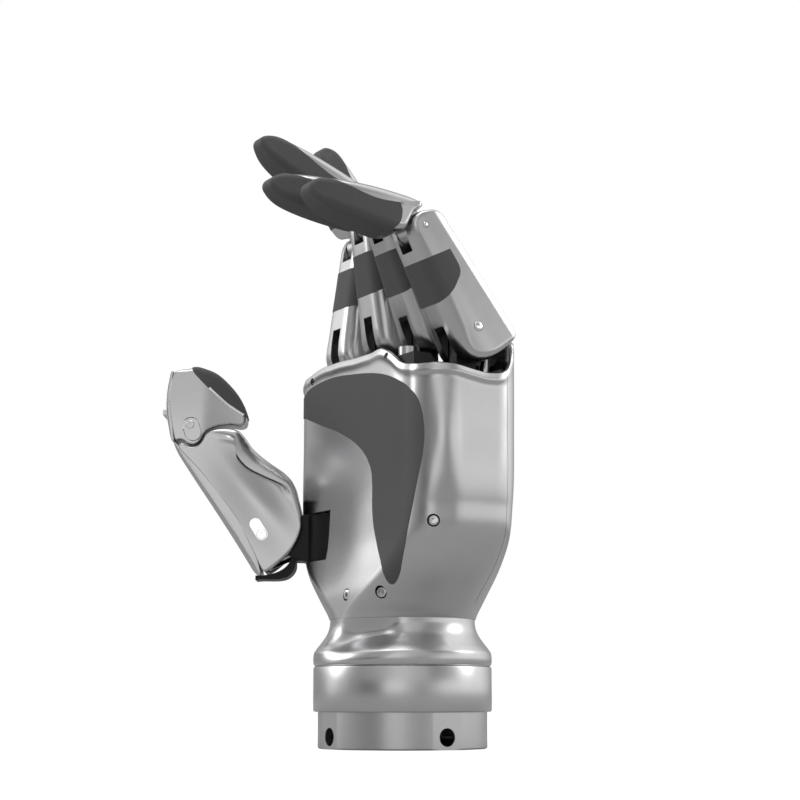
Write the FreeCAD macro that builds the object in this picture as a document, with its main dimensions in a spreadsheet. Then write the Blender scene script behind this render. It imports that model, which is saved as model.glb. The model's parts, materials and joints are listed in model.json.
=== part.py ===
import FreeCAD, Part
import math
import os
import Sketcher
from FreeCAD import Placement, Rotation, Vector

# Dexterous robot hand, left. Millimetres, +Z from the wrist to the fingertips.
# Origin: centre of the wrist ring's lower face. The palm faces -Y, the little finger is at +X.

doc = FreeCAD.newDocument("robot_hand")

# Driving dimensions: name, value
SIZES = [
    ("ring_radius", 27.0), ("ring_height", 11.4), ("socket_radius", 19.0),
    ("fixing_hole_radius", 2.8), ("fixing_hole_height", 3.8), ("flat_width", 10.3),
    ("collar_radius", 28.5), ("collar_height", 14.2), ("shoulder_height", 3.8),
    ("neck_height", 11.0), ("neck_radius", 23.2), ("neck_bore", 8.0), ("neck_roof", 3.0),
    ("dent_height", 4.6), ("dent_depth", 5.0), ("dent_width", 12.0), ("dent_angle", -62.0),
    ("palm_height", 84.5), ("palm_half_width", 44.0), ("palm_half_depth", 18.5),
    ("palm_centre_y", 0.9), ("palm_corner", 11.0), ("shell_wall", 1.5), ("pad_thickness", 1.2),
    ("split_y", 12.0), ("back_rise", 2.5), ("fit_gap", 0.3),
    ("pitch_share", 0.4875), ("finger_base_share", 0.2114), ("finger_top_share", 0.1773),
    ("proximal_length", 35.5), ("proximal_front", 7.9), ("proximal_back", 11.9),
    ("proximal_front_top", 5.3), ("proximal_back_top", 8.2), ("proximal_heel", 11.0),
    ("band_thickness", 1.0), ("lug_thickness", 4.0), ("lug_radius", 3.6), ("slot_gap", 0.6),
    ("pin_radius", 1.5), ("pin_gap", 0.05), ("tip_pin_radius", 0.9), ("pip_round", 4.5), ("pip_gap", 0.5),
    ("tongue_thickness", 5.4), ("fingertip_share", 0.1636), ("distal_back", 8.7), ("distal_front", 4.0),
    ("rod_radius", 1.5), ("rod_offset", 8.3), ("rod_eye_radius", 2.4), ("rod_eye_thickness", 3.6),
    ("actuator_radius", 5.5), ("actuator_length", 32.0), ("actuator_gap", 1.0),
    ("bridge_drop", 12.9), ("bridge_height", 9.5), ("frame_thickness", 3.0),
    ("base_plate_height", 3.0),
    ("hub_inset", 13.0), ("hub_y", -7.5), ("hub_radius", 11.0), ("hub_bottom", 60.6), ("hub_height", 15.4),
    ("journal_radius", 4.0), ("notch_gap", 0.5), ("notch_inset", 28.8), ("notch_y", 3.6),
    ("thumb_half_width", 8.5), ("thumb_wall", 1.5), ("thumb_pin_radius", 2.0), ("thumb_yaw", -31.0),
    ("thumb_neck_half", 6.4), ("thumb_cover_radius", 5.2),
    ("bearing_radius", 7.6), ("yaw_motor_radius", 6.0), ("yaw_motor_height", 27.0),
    ("board_width", 26.0), ("board_height", 34.0), ("board_thickness", 1.6),
    ("screw_radius", 1.6), ("boss_radius", 2.9), ("boss_height", 9.0),
    ("connector_height", 8.0), ("thumb_tip_pin_radius", 1.5), ("thumb_rod_radius", 1.9),
    ("thumb_knuckle_radius", 6.1), ("thumb_neck_radius", 6.3),
]


class Dim(float):
    """A length that keeps the sheet formula it comes from."""

    def __new__(cls, value, formula=None):
        number = float.__new__(cls, value)
        number.formula = formula or repr(float(value))
        return number

    def join(self, other, sign, value, swapped=False):
        pair = [self.formula, getattr(other, "formula", repr(float(other)))]
        if swapped:
            pair.reverse()
        return Dim(value, "(%s %s %s)" % (pair[0], sign, pair[1]))

    def __add__(self, other):
        return self.join(other, "+", float(self) + float(other))

    def __radd__(self, other):
        return self.join(other, "+", float(other) + float(self), True)

    def __sub__(self, other):
        return self.join(other, "-", float(self) - float(other))

    def __rsub__(self, other):
        return self.join(other, "-", float(other) - float(self), True)

    def __mul__(self, other):
        return self.join(other, "*", float(self) * float(other))

    def __rmul__(self, other):
        return self.join(other, "*", float(other) * float(self), True)

    def __truediv__(self, other):
        return self.join(other, "/", float(self) / float(other))

    def __neg__(self):
        return Dim(-float(self), "(0 - %s)" % self.formula)


class Sizes:
    """The sheet's values, read by name."""


def make_sheet():
    sheet = doc.addObject("Spreadsheet::Sheet", "Sizes")
    for row, (name, value) in enumerate(SIZES, 1):
        sheet.set("A%d" % row, name)
        sheet.set("B%d" % row, str(value))
        sheet.setAlias("B%d" % row, name)
    doc.recompute()
    values = Sizes()
    for name, value in SIZES:
        setattr(values, name, Dim(getattr(sheet, name), "Sizes." + name))
    return values


s = make_sheet()
parts = {}

# Heights that several pieces share
collar_bottom = s.ring_height
neck_bottom = collar_bottom + s.collar_height
palm_bottom = neck_bottom + s.shoulder_height + s.neck_height
palm_top = palm_bottom + s.palm_height
bridge_bottom = palm_top - s.bridge_drop
bridge_top = bridge_bottom + s.bridge_height
actuator_top = bridge_bottom - s.actuator_gap
actuator_bottom = actuator_top - s.actuator_length
hub_x = s.hub_inset - s.palm_half_width

# The palm's width carries the row of fingers: pitch, and the links' half widths from knuckle to tip
finger_pitch = s.palm_half_width * s.pitch_share
finger_half_base = s.palm_half_width * s.finger_base_share
finger_half_top = s.palm_half_width * s.finger_top_share
distal_half_width = s.palm_half_width * s.fingertip_share
palm_front = s.palm_centre_y - s.palm_half_depth
boss_x = finger_pitch + s.boss_radius
boss_y = palm_front + s.boss_radius + 2
boss_z = palm_top - s.boss_height - 0.6

# Fingers: place in the row, knuckle height and depth, rest angles and distal length
FINGERS = {
    "little": {"row": 1.5, "y": 2.8, "z": 129.8, "knuckle": 31.0, "tip": 85.0, "distal": 39.0},
    "ring": {"row": 0.5, "y": 2.4, "z": 136.4, "knuckle": 25.0, "tip": 88.0, "distal": 44.0},
    "middle": {"row": -0.5, "y": 1.2, "z": 138.3, "knuckle": 12.0, "tip": 67.0, "distal": 48.5},
    "index": {"row": -1.5, "y": 0.2, "z": 135.9, "knuckle": -4.0, "tip": 34.0, "distal": 37.0},
}


def bind(obj, name, value):
    """Sets a property, and ties it to the sheet where the value comes from it."""
    if "." not in name:
        setattr(obj, name, float(value))
    obj.setExpression(name, getattr(value, "formula", repr(float(value))))


def place(obj, x, y, z, rotation=None):
    obj.Placement = Placement(Vector(x, y, z), rotation or Rotation())
    for axis, value in (("x", x), ("y", y), ("z", z)):
        if hasattr(value, "formula"):
            obj.setExpression("Placement.Base." + axis, value.formula)
    return obj


TURN = {"Z": Rotation(), "X": Rotation(Vector(0, 1, 0), 90), "Y": Rotation(Vector(1, 0, 0), -90)}


def cylinder(name, radius, height, x=0, y=0, z=0, axis="Z"):
    obj = doc.addObject("Part::Cylinder", name)
    bind(obj, "Radius", radius)
    bind(obj, "Height", height)
    return place(obj, x, y, z, TURN[axis])


def box(name, length, width, height, x, y, z):
    obj = doc.addObject("Part::Box", name)
    bind(obj, "Length", length)
    bind(obj, "Width", width)
    bind(obj, "Height", height)
    return place(obj, x, y, z)


def fuse(name, *shapes):
    obj = doc.addObject("Part::MultiFuse", name)
    obj.Shapes = list(shapes)
    return obj


def cut(name, base, *tools):
    obj = doc.addObject("Part::Cut", name)
    obj.Base = base
    obj.Tool = tools[0] if len(tools) == 1 else fuse(name + "_tools", *tools)
    return obj


def group(name, *shapes):
    """Separate solids of one kind, kept as one sub-part."""
    obj = doc.addObject("Part::Compound", name)
    obj.Links = list(shapes)
    return obj


def feature(name, shape):
    obj = doc.addObject("Part::Feature", name)
    obj.Shape = shape
    return obj


def keep(obj, label, placement=None):
    """Names a finished sub-part; its label is its file's name."""
    obj.Label = label
    if placement is not None:
        obj.Placement = placement
    parts[label] = obj
    return obj


def plane(body, role):
    return [item for item in body.Origin.OriginFeatures if item.Role == role][0]


def polygon_sketch(body, name, role, loops, offset=0):
    """A sketch of closed straight outlines whose corners are tied to the sheet."""
    sketch = body.newObject("Sketcher::SketchObject", name)
    sketch.AttachmentSupport = (plane(body, role), [""])
    sketch.MapMode = "FlatFace"
    if offset:
        bind(sketch, "AttachmentOffset.Base.z", offset)
    for corners in loops:
        first = sketch.GeometryCount
        count = len(corners)
        for i, (x, y) in enumerate(corners):
            nx, ny = corners[(i + 1) % count]
            sketch.addGeometry(Part.LineSegment(Vector(x, y, 0), Vector(nx, ny, 0)), False)
        for i, corner in enumerate(corners):
            line, after = first + i, first + (i + 1) % count
            sketch.addConstraint(Sketcher.Constraint("Coincident", line, 2, after, 1))
            for kind, value in (("DistanceX", corner[0]), ("DistanceY", corner[1])):
                if abs(value) < 1e-9:
                    axis = -2 if kind == "DistanceX" else -1
                    sketch.addConstraint(Sketcher.Constraint("PointOnObject", line, 1, axis))
                    continue
                number = sketch.addConstraint(
                    Sketcher.Constraint(kind, -1, 1, line, 1, float(value)))
                if hasattr(value, "formula"):
                    sketch.setExpression("Constraints[%d]" % number, value.formula)
    return sketch


def circle_sketch(body, name, role, centre, radius):
    sketch = body.newObject("Sketcher::SketchObject", name)
    sketch.AttachmentSupport = (plane(body, role), [""])
    sketch.MapMode = "FlatFace"
    x, y = centre
    sketch.addGeometry(Part.Circle(Vector(x, y, 0), Vector(0, 0, 1), radius), False)
    number = sketch.addConstraint(Sketcher.Constraint("Radius", 0, float(radius)))
    sketch.setExpression("Constraints[%d]" % number, radius.formula)
    for kind, value, axis in (("DistanceX", x, -2), ("DistanceY", y, -1)):
        if abs(value) < 1e-9:
            sketch.addConstraint(Sketcher.Constraint("PointOnObject", 0, 3, axis))
        else:
            number = sketch.addConstraint(Sketcher.Constraint(kind, -1, 1, 0, 3, float(value)))
            if hasattr(value, "formula"):
                sketch.setExpression("Constraints[%d]" % number, value.formula)
    return sketch


def revolved_body(name, corners):
    """A body turned about Z from corners given as (radius, height)."""
    body = doc.addObject("PartDesign::Body", name)
    sketch = polygon_sketch(body, name + "_profile", "XZ_Plane", [corners])
    turn = body.newObject("PartDesign::Revolution", name + "_turn")
    turn.Profile = sketch
    turn.ReferenceAxis = (sketch, ["V_Axis"])
    turn.Angle = 360
    body.Tip = turn
    return body


def through_pocket(body, sketch, name):
    pocket = body.newObject("PartDesign::Pocket", name)
    pocket.Profile = sketch
    pocket.Type = "ThroughAll"
    pocket.Midplane = True
    body.Tip = pocket
    return pocket


def wrist_ring():
    body = revolved_body("wrist_ring", [
        (s.socket_radius, Dim(0)), (s.ring_radius, Dim(0)),
        (s.ring_radius, s.ring_height), (s.socket_radius, s.ring_height)])
    for role in ("XZ_Plane", "YZ_Plane"):
        hole = circle_sketch(body, "fixing_" + role[:2], role, (0, s.fixing_hole_height),
                             s.fixing_hole_radius)
        through_pocket(body, hole, "fixing_cut_" + role[:2])
    # Each fixing hole opens on a flat milled over the whole height of the ring
    half = s.flat_width / 2
    depth = Dim(math.sqrt(s.ring_radius ** 2 - half ** 2),
                "sqrt(Sizes.ring_radius * Sizes.ring_radius - %s * %s)" % (half.formula, half.formula))
    out = s.ring_radius + 1
    loops = [[(depth, -half), (out, -half), (out, half), (depth, half)],
             [(-out, -half), (-depth, -half), (-depth, half), (-out, half)],
             [(-half, depth), (half, depth), (half, out), (-half, out)],
             [(-half, -out), (half, -out), (half, -depth), (-half, -depth)]]
    flats = polygon_sketch(body, "flats", "XY_Plane", loops)
    through_pocket(body, flats, "flats_cut")
    keep(body, "wrist_ring")


def wrist_collar():
    edge = Dim(0.5)
    body = revolved_body("wrist_collar", [
        (s.socket_radius, collar_bottom), (s.collar_radius - edge, collar_bottom),
        (s.collar_radius, collar_bottom + edge), (s.collar_radius, neck_bottom - edge),
        (s.collar_radius - edge, neck_bottom), (s.socket_radius, neck_bottom)])
    keep(body, "wrist_collar")


def wrist_neck():
    """Shoulder and flare under the palm, with a roof that carries the palm frame."""
    shoulder = neck_bottom + s.shoulder_height
    drop = s.collar_radius - s.neck_radius
    rise = s.neck_height
    corners = [
        (s.socket_radius, neck_bottom), (s.collar_radius, neck_bottom), (s.collar_radius, shoulder),
        (s.collar_radius - drop * 0.12, shoulder + rise * 0.12),
        (s.collar_radius - drop * 0.48, shoulder + rise * 0.34),
        (s.collar_radius - drop * 0.85, shoulder + rise * 0.60),
        (s.neck_radius, shoulder + rise * 0.82), (s.neck_radius, palm_bottom),
        (s.neck_bore, palm_bottom), (s.neck_bore, palm_bottom - s.neck_roof),
        (s.socket_radius, palm_bottom - s.neck_roof)]
    form = revolved_body("neck_form", corners)
    # Hand-wide hollow pressed into the palm's side of the flare
    dent = doc.addObject("Part::Ellipsoid", "neck_dent")
    bind(dent, "Radius1", s.dent_height)
    bind(dent, "Radius2", s.dent_depth)
    bind(dent, "Radius3", s.dent_width)
    angle = math.radians(float(s.dent_angle))
    reach = float(s.neck_radius + s.dent_depth * 0.75)
    dent.Placement = Placement(Vector(reach * math.cos(angle), reach * math.sin(angle),
                                      float(shoulder + rise * 0.45)),
                               Rotation(Vector(0, 0, 1), float(s.dent_angle)))
    keep(cut("wrist_neck", form, dent), "wrist_neck")


def rounded_wire(half_x, y0, y1, radius, z):
    """A rectangle with round corners at height z, from eight edges."""
    radius = min(radius, half_x * 0.97, (y1 - y0) / 2 * 0.97)
    edges = []
    centres = [(half_x - radius, y1 - radius, 0), (radius - half_x, y1 - radius, 90),
               (radius - half_x, y0 + radius, 180), (half_x - radius, y0 + radius, 270)]

    def point(centre, degrees):
        angle = math.radians(degrees)
        return Vector(centre[0] + radius * math.cos(angle), centre[1] + radius * math.sin(angle), z)

    for i, centre in enumerate(centres):
        start = centre[2]
        edges.append(Part.Arc(point(centre, start), point(centre, start + 45),
                              point(centre, start + 90)).toShape())
        following = centres[(i + 1) % 4]
        edges.append(Part.LineSegment(point(centre, start + 90),
                                      point(following, following[2])).toShape())
    return Part.Wire(edges)


# Palm rows: height share, then shares of the way from the neck to the full width, front and back,
# and the corner radius as a share of the way from the neck's to the rim's
PALM_ROWS = [(0.0, 0.0, 0.0, 0.0, 0.0), (0.08, 0.264, 0.08, 0.24, 0.29), (0.173, 0.635, 0.39, 0.74, 0.59),
             (0.27, 0.905, 0.70, 1.03, 0.76), (0.41, 0.985, 0.86, 1.05, 0.88), (0.70, 1.0, 0.965, 1.0, 0.96),
             (1.0, 1.0, 1.0, 1.0, 1.0)]


def palm_form(inset):
    """The palm's outer form drawn in by inset: round at the wrist, wide and flat at the knuckles."""
    height, neck = float(s.palm_height), float(s.neck_radius)
    wide, rim_corner = float(s.palm_half_width), float(s.palm_corner)
    front, back = float(palm_front), float(s.palm_centre_y + s.palm_half_depth)
    above = (1.0 + float(s.back_rise) / height,) + PALM_ROWS[-1][1:]
    wires = []
    for share, across, to_front, to_back, rounding in PALM_ROWS + [above]:
        half_x = neck + (wide - neck) * across - inset
        y0 = -neck + (front + neck) * to_front + inset
        y1 = neck + (back - neck) * to_back - inset
        corner = neck + (rim_corner - neck) * rounding - inset
        wires.append(rounded_wire(half_x, y0, y1, corner, float(palm_bottom) + height * share))
    return Part.makeLoft(wires, True, False)


def on_palm(points):
    """Places given as shares of the palm's half width and of its height, as (x, z)."""
    return [(float(s.palm_half_width) * a, float(palm_bottom) + float(s.palm_height) * b) for a, b in points]


def prism(points, axis, low, high):
    """A straight-sided block over closed points; axis X takes (y, z), axis Y takes (x, z)."""
    if axis == "X":
        corners = [Vector(low, a, b) for a, b in points]
        way = Vector(high - low, 0, 0)
    elif axis == "Y":
        corners = [Vector(a, low, b) for a, b in points]
        way = Vector(0, high - low, 0)
    else:
        corners = [Vector(a, b, low) for a, b in points]
        way = Vector(0, 0, high - low)
    return Part.Face(Part.makePolygon(corners + corners[:1])).extrude(way)


def curved_prism(curves, axis, low, high):
    """Like prism, but each item is a list of points: two make a line, more a smooth curve."""
    def lift(pair):
        if axis == "X":
            return Vector(low, pair[0], pair[1])
        if axis == "Y":
            return Vector(pair[0], low, pair[1])
        return Vector(pair[0], pair[1], low)
    edges = []
    for points in curves:
        corners = [lift(p) for p in points]
        if len(corners) == 2:
            edges.append(Part.LineSegment(corners[0], corners[1]).toShape())
        else:
            curve = Part.BSplineCurve()
            curve.interpolate(corners)
            edges.append(curve.toShape())
    way = {"X": Vector(high - low, 0, 0), "Y": Vector(0, high - low, 0), "Z": Vector(0, 0, high - low)}
    return Part.Face(Part.Wire(edges)).extrude(way[axis])


def bar(radius, length, x, y, z, axis=(0, 0, 1)):
    return Part.makeCylinder(radius, length, Vector(x, y, z), Vector(*axis))


def finger_x(name):
    return float(finger_pitch) * FINGERS[name]["row"]


def rim_cutter():
    """Everything above the palm's rim: level in front, dipping beside and behind the little finger."""
    low_side = on_palm([(-1.04, 0.86), (-0.985, 0.94), (-0.86, 0.985), (-0.64, 0.995)])
    falling = on_palm([(0.42, 0.995), (0.56, 0.94), (0.70, 0.905), (0.86, 0.893), (1.04, 0.875)])
    top = float(palm_top) + 60
    wide = float(s.palm_half_width) + 2
    return curved_prism([low_side, [low_side[-1], falling[0]], falling,
                         [falling[-1], (wide, top)], [(wide, top), (-wide, top)],
                         [(-wide, top), low_side[0]]], "Y", -60, float(s.split_y) + 0.01)


def palm_pad_region():
    """Seen from the front, the pad is a comma: a bar across under the fingers and a tapering tail."""
    top = on_palm([(-1.18, 0.88), (-0.83, 0.907), (-0.72, 0.930), (-0.56, 0.943), (-0.32, 0.948), (-0.04, 0.936),
                   (0.23, 0.918), (0.42, 0.897), (0.58, 0.866), (0.74, 0.822), (0.83, 0.786), (0.875, 0.731),
                   (0.89, 0.646), (0.877, 0.562)])
    side = on_palm([(0.877, 0.562), (0.838, 0.473), (0.798, 0.386), (0.761, 0.310), (0.727, 0.239),
                    (0.675, 0.176), (0.62, 0.137), (0.566, 0.112), (0.543, 0.117), (0.534, 0.144)])
    back = on_palm([(0.534, 0.144), (0.50, 0.187), (0.414, 0.251), (0.336, 0.328), (0.298, 0.411), (0.277, 0.498),
                    (0.25, 0.550), (0.173, 0.605), (0.045, 0.654), (-0.105, 0.693), (-0.286, 0.731),
                    (-0.495, 0.766), (-0.684, 0.799), (-0.83, 0.82), (-1.18, 0.845)])
    return curved_prism([top, side, back, [back[-1], top[0]]], "Y", -60, -8)


def finger_sweep(name, outward=0.0):
    """Room that a finger's heel needs to swing; outward widens it past the palm's side."""
    at = FINGERS[name]
    reach = math.hypot(s.proximal_back, s.proximal_heel - 2.7) + 0.5
    half = float(finger_half_base) + 0.5
    side = outward if name == "little" else 0.0
    return bar(reach, 2 * half + side, finger_x(name) - half, at["y"], at["z"], (1, 0, 0))


def palm_shells():
    """Front shell, back cover and the grip pad let into the front shell."""
    outer = palm_form(0)
    hollow = palm_form(float(s.shell_wall))
    under_pad = palm_form(float(s.pad_thickness))
    region = palm_pad_region()
    split = float(s.split_y)
    big = 200
    front_half = Part.makeBox(big, big, big, Vector(-big / 2, split - big, 0))
    rim = rim_cutter()
    pad = outer.common(region).common(front_half).cut(under_pad)
    notch = Part.makeBox(60, 60, float(s.hub_height) + 2 * float(s.notch_gap),
                         Vector(float(s.notch_inset - s.palm_half_width) - 60, float(s.notch_y) - 60,
                                float(s.hub_bottom) - float(s.notch_gap)))
    shell = outer.cut(hollow).common(front_half).cut(pad).cut(rim).cut(notch)
    for start, inward in screw_lines(outer):
        hole = Part.makeCylinder(float(s.screw_radius) + 0.05, 14, start - inward * 6, inward)
        shell = shell.cut(hole)
    keep(feature("palm_shell_body", shell), "palm_shell")
    keep(feature("palm_pad_body", pad.cut(rim)), "palm_grip_pad")
    back_half = Part.makeBox(big, big, big, Vector(-big / 2, split + 0.02, 0))
    back = outer.cut(hollow).common(back_half)
    for name in FINGERS:
        back = back.cut(finger_sweep(name, 8.0))
    keep(feature("back_cover_body", back), "back_cover")


# Screws of the front shell: where the axis crosses y = 0, as shares of the palm's half width and
# height, and the way it comes in, in degrees from the palm's front towards the little finger
SHELL_SCREWS = [(0.553, 0.331, 50.0), (0.0, 0.086, 9.5), (0.102, 0.088, 38.0)]


def screw_lines(form):
    """Each screw's head centre on the form's surface and its direction inwards."""
    lines = []
    for across, up, degrees in SHELL_SCREWS:
        (x, z), = on_palm([(across, up)])
        angle = math.radians(degrees)
        outward = Vector(math.sin(angle), -math.cos(angle), 0)
        middle = Vector(x, 0, z)
        inside = form.common(Part.LineSegment(middle + outward * 80, middle).toShape())
        start = max(inside.Vertexes, key=lambda v: (v.Point - middle).Length).Point
        lines.append((start, outward * -1))
    return lines


def palm_frame():
    """Upright web on a round base plate, with a shelf for the thumb's journal."""
    wide = float(s.palm_half_width) - 10
    low, top = float(palm_bottom), float(bridge_bottom)
    t = float(s.frame_thickness)
    web = prism([(-19, low), (19, low), (24, low + 9), (wide - 1, low + 22), (wide, top), (-wide, top),
                 (-wide + 1, low + 22), (-24, low + 9)], "Y", -t / 2, t / 2)
    base = bar(float(s.neck_radius) - float(s.shell_wall) - float(s.fit_gap) - 0.6,
               float(s.base_plate_height), 0, 0, low)
    frame = web.fuse(base)
    at_x, at_y = float(hub_x), float(s.hub_y)
    shelf_bottom = float(s.hub_bottom) - 4.2
    shelf = Part.makeBox(24, 9, 3.6, Vector(at_x - 3.4, at_y - 1.5, shelf_bottom))
    shelf = shelf.fuse(bar(4.9, 3.6, at_x, at_y, shelf_bottom))
    frame = frame.fuse(shelf)
    frame = frame.cut(bar(float(s.hub_radius) + 0.6, float(s.hub_height) + 1.2, at_x, at_y,
                          float(s.hub_bottom) - 0.6))
    frame = frame.cut(bar(float(s.journal_radius) - 1 + 0.06, 12, at_x, at_y, shelf_bottom - 2))
    hub_top = float(s.hub_bottom) + float(s.hub_height)
    frame = frame.cut(bar(float(s.yaw_motor_radius) + 0.02, 60, at_x, at_y, hub_top))
    frame = frame.cut(bar(float(s.bearing_radius) + 0.02, 2.3, at_x, at_y, hub_top))
    for x in (-10, 10):
        for z in (58, 78, 98):
            frame = frame.cut(bar(6, 20, x, -10, z, (0, 1, 0)))
    frame = frame.cut(bar(float(s.neck_bore), 10, 0, 0, low - 1))
    frame = frame.common(palm_form(float(s.shell_wall) + float(s.fit_gap)))
    keep(feature("palm_frame_body", frame.removeSplitter()), "palm_frame")


def knuckle_bridge():
    """Black block that closes the palm under the fingers and carries four knuckle lugs."""
    slab = palm_form(float(s.shell_wall) + float(s.fit_gap))
    slab = slab.common(Part.makeBox(200, 200, float(s.bridge_height),
                                    Vector(-100, -100, float(bridge_bottom))))
    corner = Part.makeBox(30, 60, 20, Vector(float(s.palm_half_width) - 11, -40, float(bridge_bottom) + 4.5))
    slab = slab.cut(corner)
    rim = rim_cutter().common(Part.makeBox(200, 112, 200, Vector(-100, -107, 0)))
    rim.translate(Vector(0, 0, -float(s.fit_gap) - 0.6))
    slab = slab.cut(rim)
    lug_half = float(s.lug_thickness) / 2
    for name in FINGERS:
        slab = slab.cut(finger_sweep(name, 8.0))
    for name, place_of in FINGERS.items():
        x, y, z = finger_x(name), place_of["y"], place_of["z"]
        r = float(s.lug_radius)
        neck = Part.makeBox(2 * lug_half, 2 * r, z - float(bridge_bottom) - 2,
                            Vector(x - lug_half, y - r, float(bridge_bottom) + 2))
        slab = slab.fuse(neck).fuse(bar(r, 2 * lug_half, x - lug_half, y, z, (1, 0, 0)))
        slab = slab.cut(bar(float(s.pin_radius) + float(s.pin_gap), 4 * lug_half, x - 2 * lug_half, y, z,
                            (1, 0, 0)))
        slab = slab.cut(bar(float(s.rod_radius) + 0.3, 60, x, y + float(s.rod_offset),
                            float(bridge_bottom) - 1))
        slab = slab.cut(bar(float(s.rod_eye_radius) + 0.5, 60, x, y + float(s.rod_offset),
                            z - 20.5))
    slab = slab.cut(bar(float(s.boss_radius) + 0.02, 20, float(boss_x), float(boss_y), float(boss_z)))
    keep(feature("knuckle_bridge_body", slab.removeSplitter()), "knuckle_bridge")


def knuckle_boss():
    """Small bright cap at the rim between the ring and little fingers."""
    cap = cylinder("boss_cap", s.boss_radius, s.boss_height, boss_x, boss_y, boss_z)
    keep(cap, "knuckle_boss")


def knuckle_pins():
    """Four knuckle pins, each through its lug and both cheeks of the finger."""
    pins = []
    for name, at in FINGERS.items():
        half = finger_half_base - 0.35
        pins.append(cylinder(name + "_knuckle_pin", s.pin_radius, half * 2,
                             finger_pitch * at["row"] - half, at["y"], at["z"], "X"))
    keep(group("knuckle_pins_group", *pins), "knuckle_pins")


def finger_placement(name):
    at = FINGERS[name]
    return Placement(Vector(finger_x(name), at["y"], at["z"]), Rotation(Vector(1, 0, 0), at["knuckle"]))


def tip_placement(name):
    at = FINGERS[name]
    angle = math.radians(at["knuckle"])
    length = float(s.proximal_length)
    return Placement(Vector(finger_x(name), at["y"] - length * math.sin(angle),
                            at["z"] + length * math.cos(angle)), Rotation(Vector(1, 0, 0), at["tip"]))


def link_form(inset):
    """Tapering proximal form along +Z: sides and front drawn in by inset, back kept."""
    length = float(s.proximal_length)
    low, high = -13.0, length + 6.0
    def at(base, top, z):
        return base + (top - base) * z / length
    wires = []
    for z in (low, high):
        wires.append(rounded_wire(at(finger_half_base, finger_half_top, z) - inset,
                                  -at(s.proximal_front, s.proximal_front_top, z) + inset,
                                  at(s.proximal_back, s.proximal_back_top, z),
                                  2.6 - 0.5 * inset, z))
    return Part.makeLoft(wires, True, True)


def proximal_outline():
    """Side view of the proximal link, y to the back and z along the finger."""
    length = float(s.proximal_length)
    heel, back = float(s.proximal_heel), float(s.proximal_back)
    front = float(s.proximal_front)
    r = float(s.pip_round)
    sole = [(back + 0.5, -heel + 2.7), (back * 0.55, -heel + 0.5), (0, -heel), (-front * 0.62, -heel + 1.9),
            (-front - 0.3, -heel * 0.36)]
    lean = [sole[-1], (-front - 0.3, 4), (-float(s.proximal_front_top) - 0.2, length - 3)]
    crown = [(-float(s.proximal_front_top) - 0.2, length - 3), (-r * 0.98, length + 0.6),
             (-r * 0.62, length + r * 0.78), (0, length + r), (r * 0.6, length + r * 0.72),
             (float(s.proximal_back_top) + 0.4, length + 0.2)]
    rear = [crown[-1], sole[0]]
    return curved_prism([sole, [lean[0], lean[1]], [lean[1], lean[2]], crown, rear], "X", -30, 30)


def band_region():
    length = float(s.proximal_length)
    edge = [(-14, length - 8.6), (3.8, length - 10.1)]
    side = [edge[-1], (3.7, length - 17), (0.5, length - 20.2), (-4, length - 22.6), (-14, length - 25)]
    return curved_prism([edge, side, [side[-1], edge[0]]], "X", -30, 30)


def proximal(name):
    """Proximal shell with its knuckle slot, top fork and pin holes, and its rubber grip band."""
    form = link_form(0).common(proximal_outline())
    core = link_form(float(s.band_thickness))
    band = form.common(band_region()).cut(core)
    shell = form.cut(band)
    length = float(s.proximal_length)
    slot = float(s.lug_thickness) / 2 + float(s.slot_gap)
    shell = shell.cut(Part.makeBox(2 * slot, 60, 40, Vector(-slot, -30, 2.5 - 40)))
    shell = shell.cut(bar(float(s.lug_radius) + 0.5, 2 * slot, -slot, 0, 0, (1, 0, 0)))
    shell = shell.cut(bar(float(s.pin_radius) + float(s.pin_gap), 60, -30, 0, 0, (1, 0, 0)))
    fork = float(s.tongue_thickness) / 2 + 0.3
    shell = shell.cut(Part.makeBox(2 * fork, 12.6, 30, Vector(-fork, -7, length - 5.6)))
    shell = shell.cut(bar(float(s.tip_pin_radius) + float(s.pin_gap), 60, -30, 0, length, (1, 0, 0)))
    keep(feature(name + "_proximal_body", shell), name + "_proximal_shell", finger_placement(name))
    keep(feature(name + "_band_body", band), name + "_grip_band", finger_placement(name))


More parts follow.
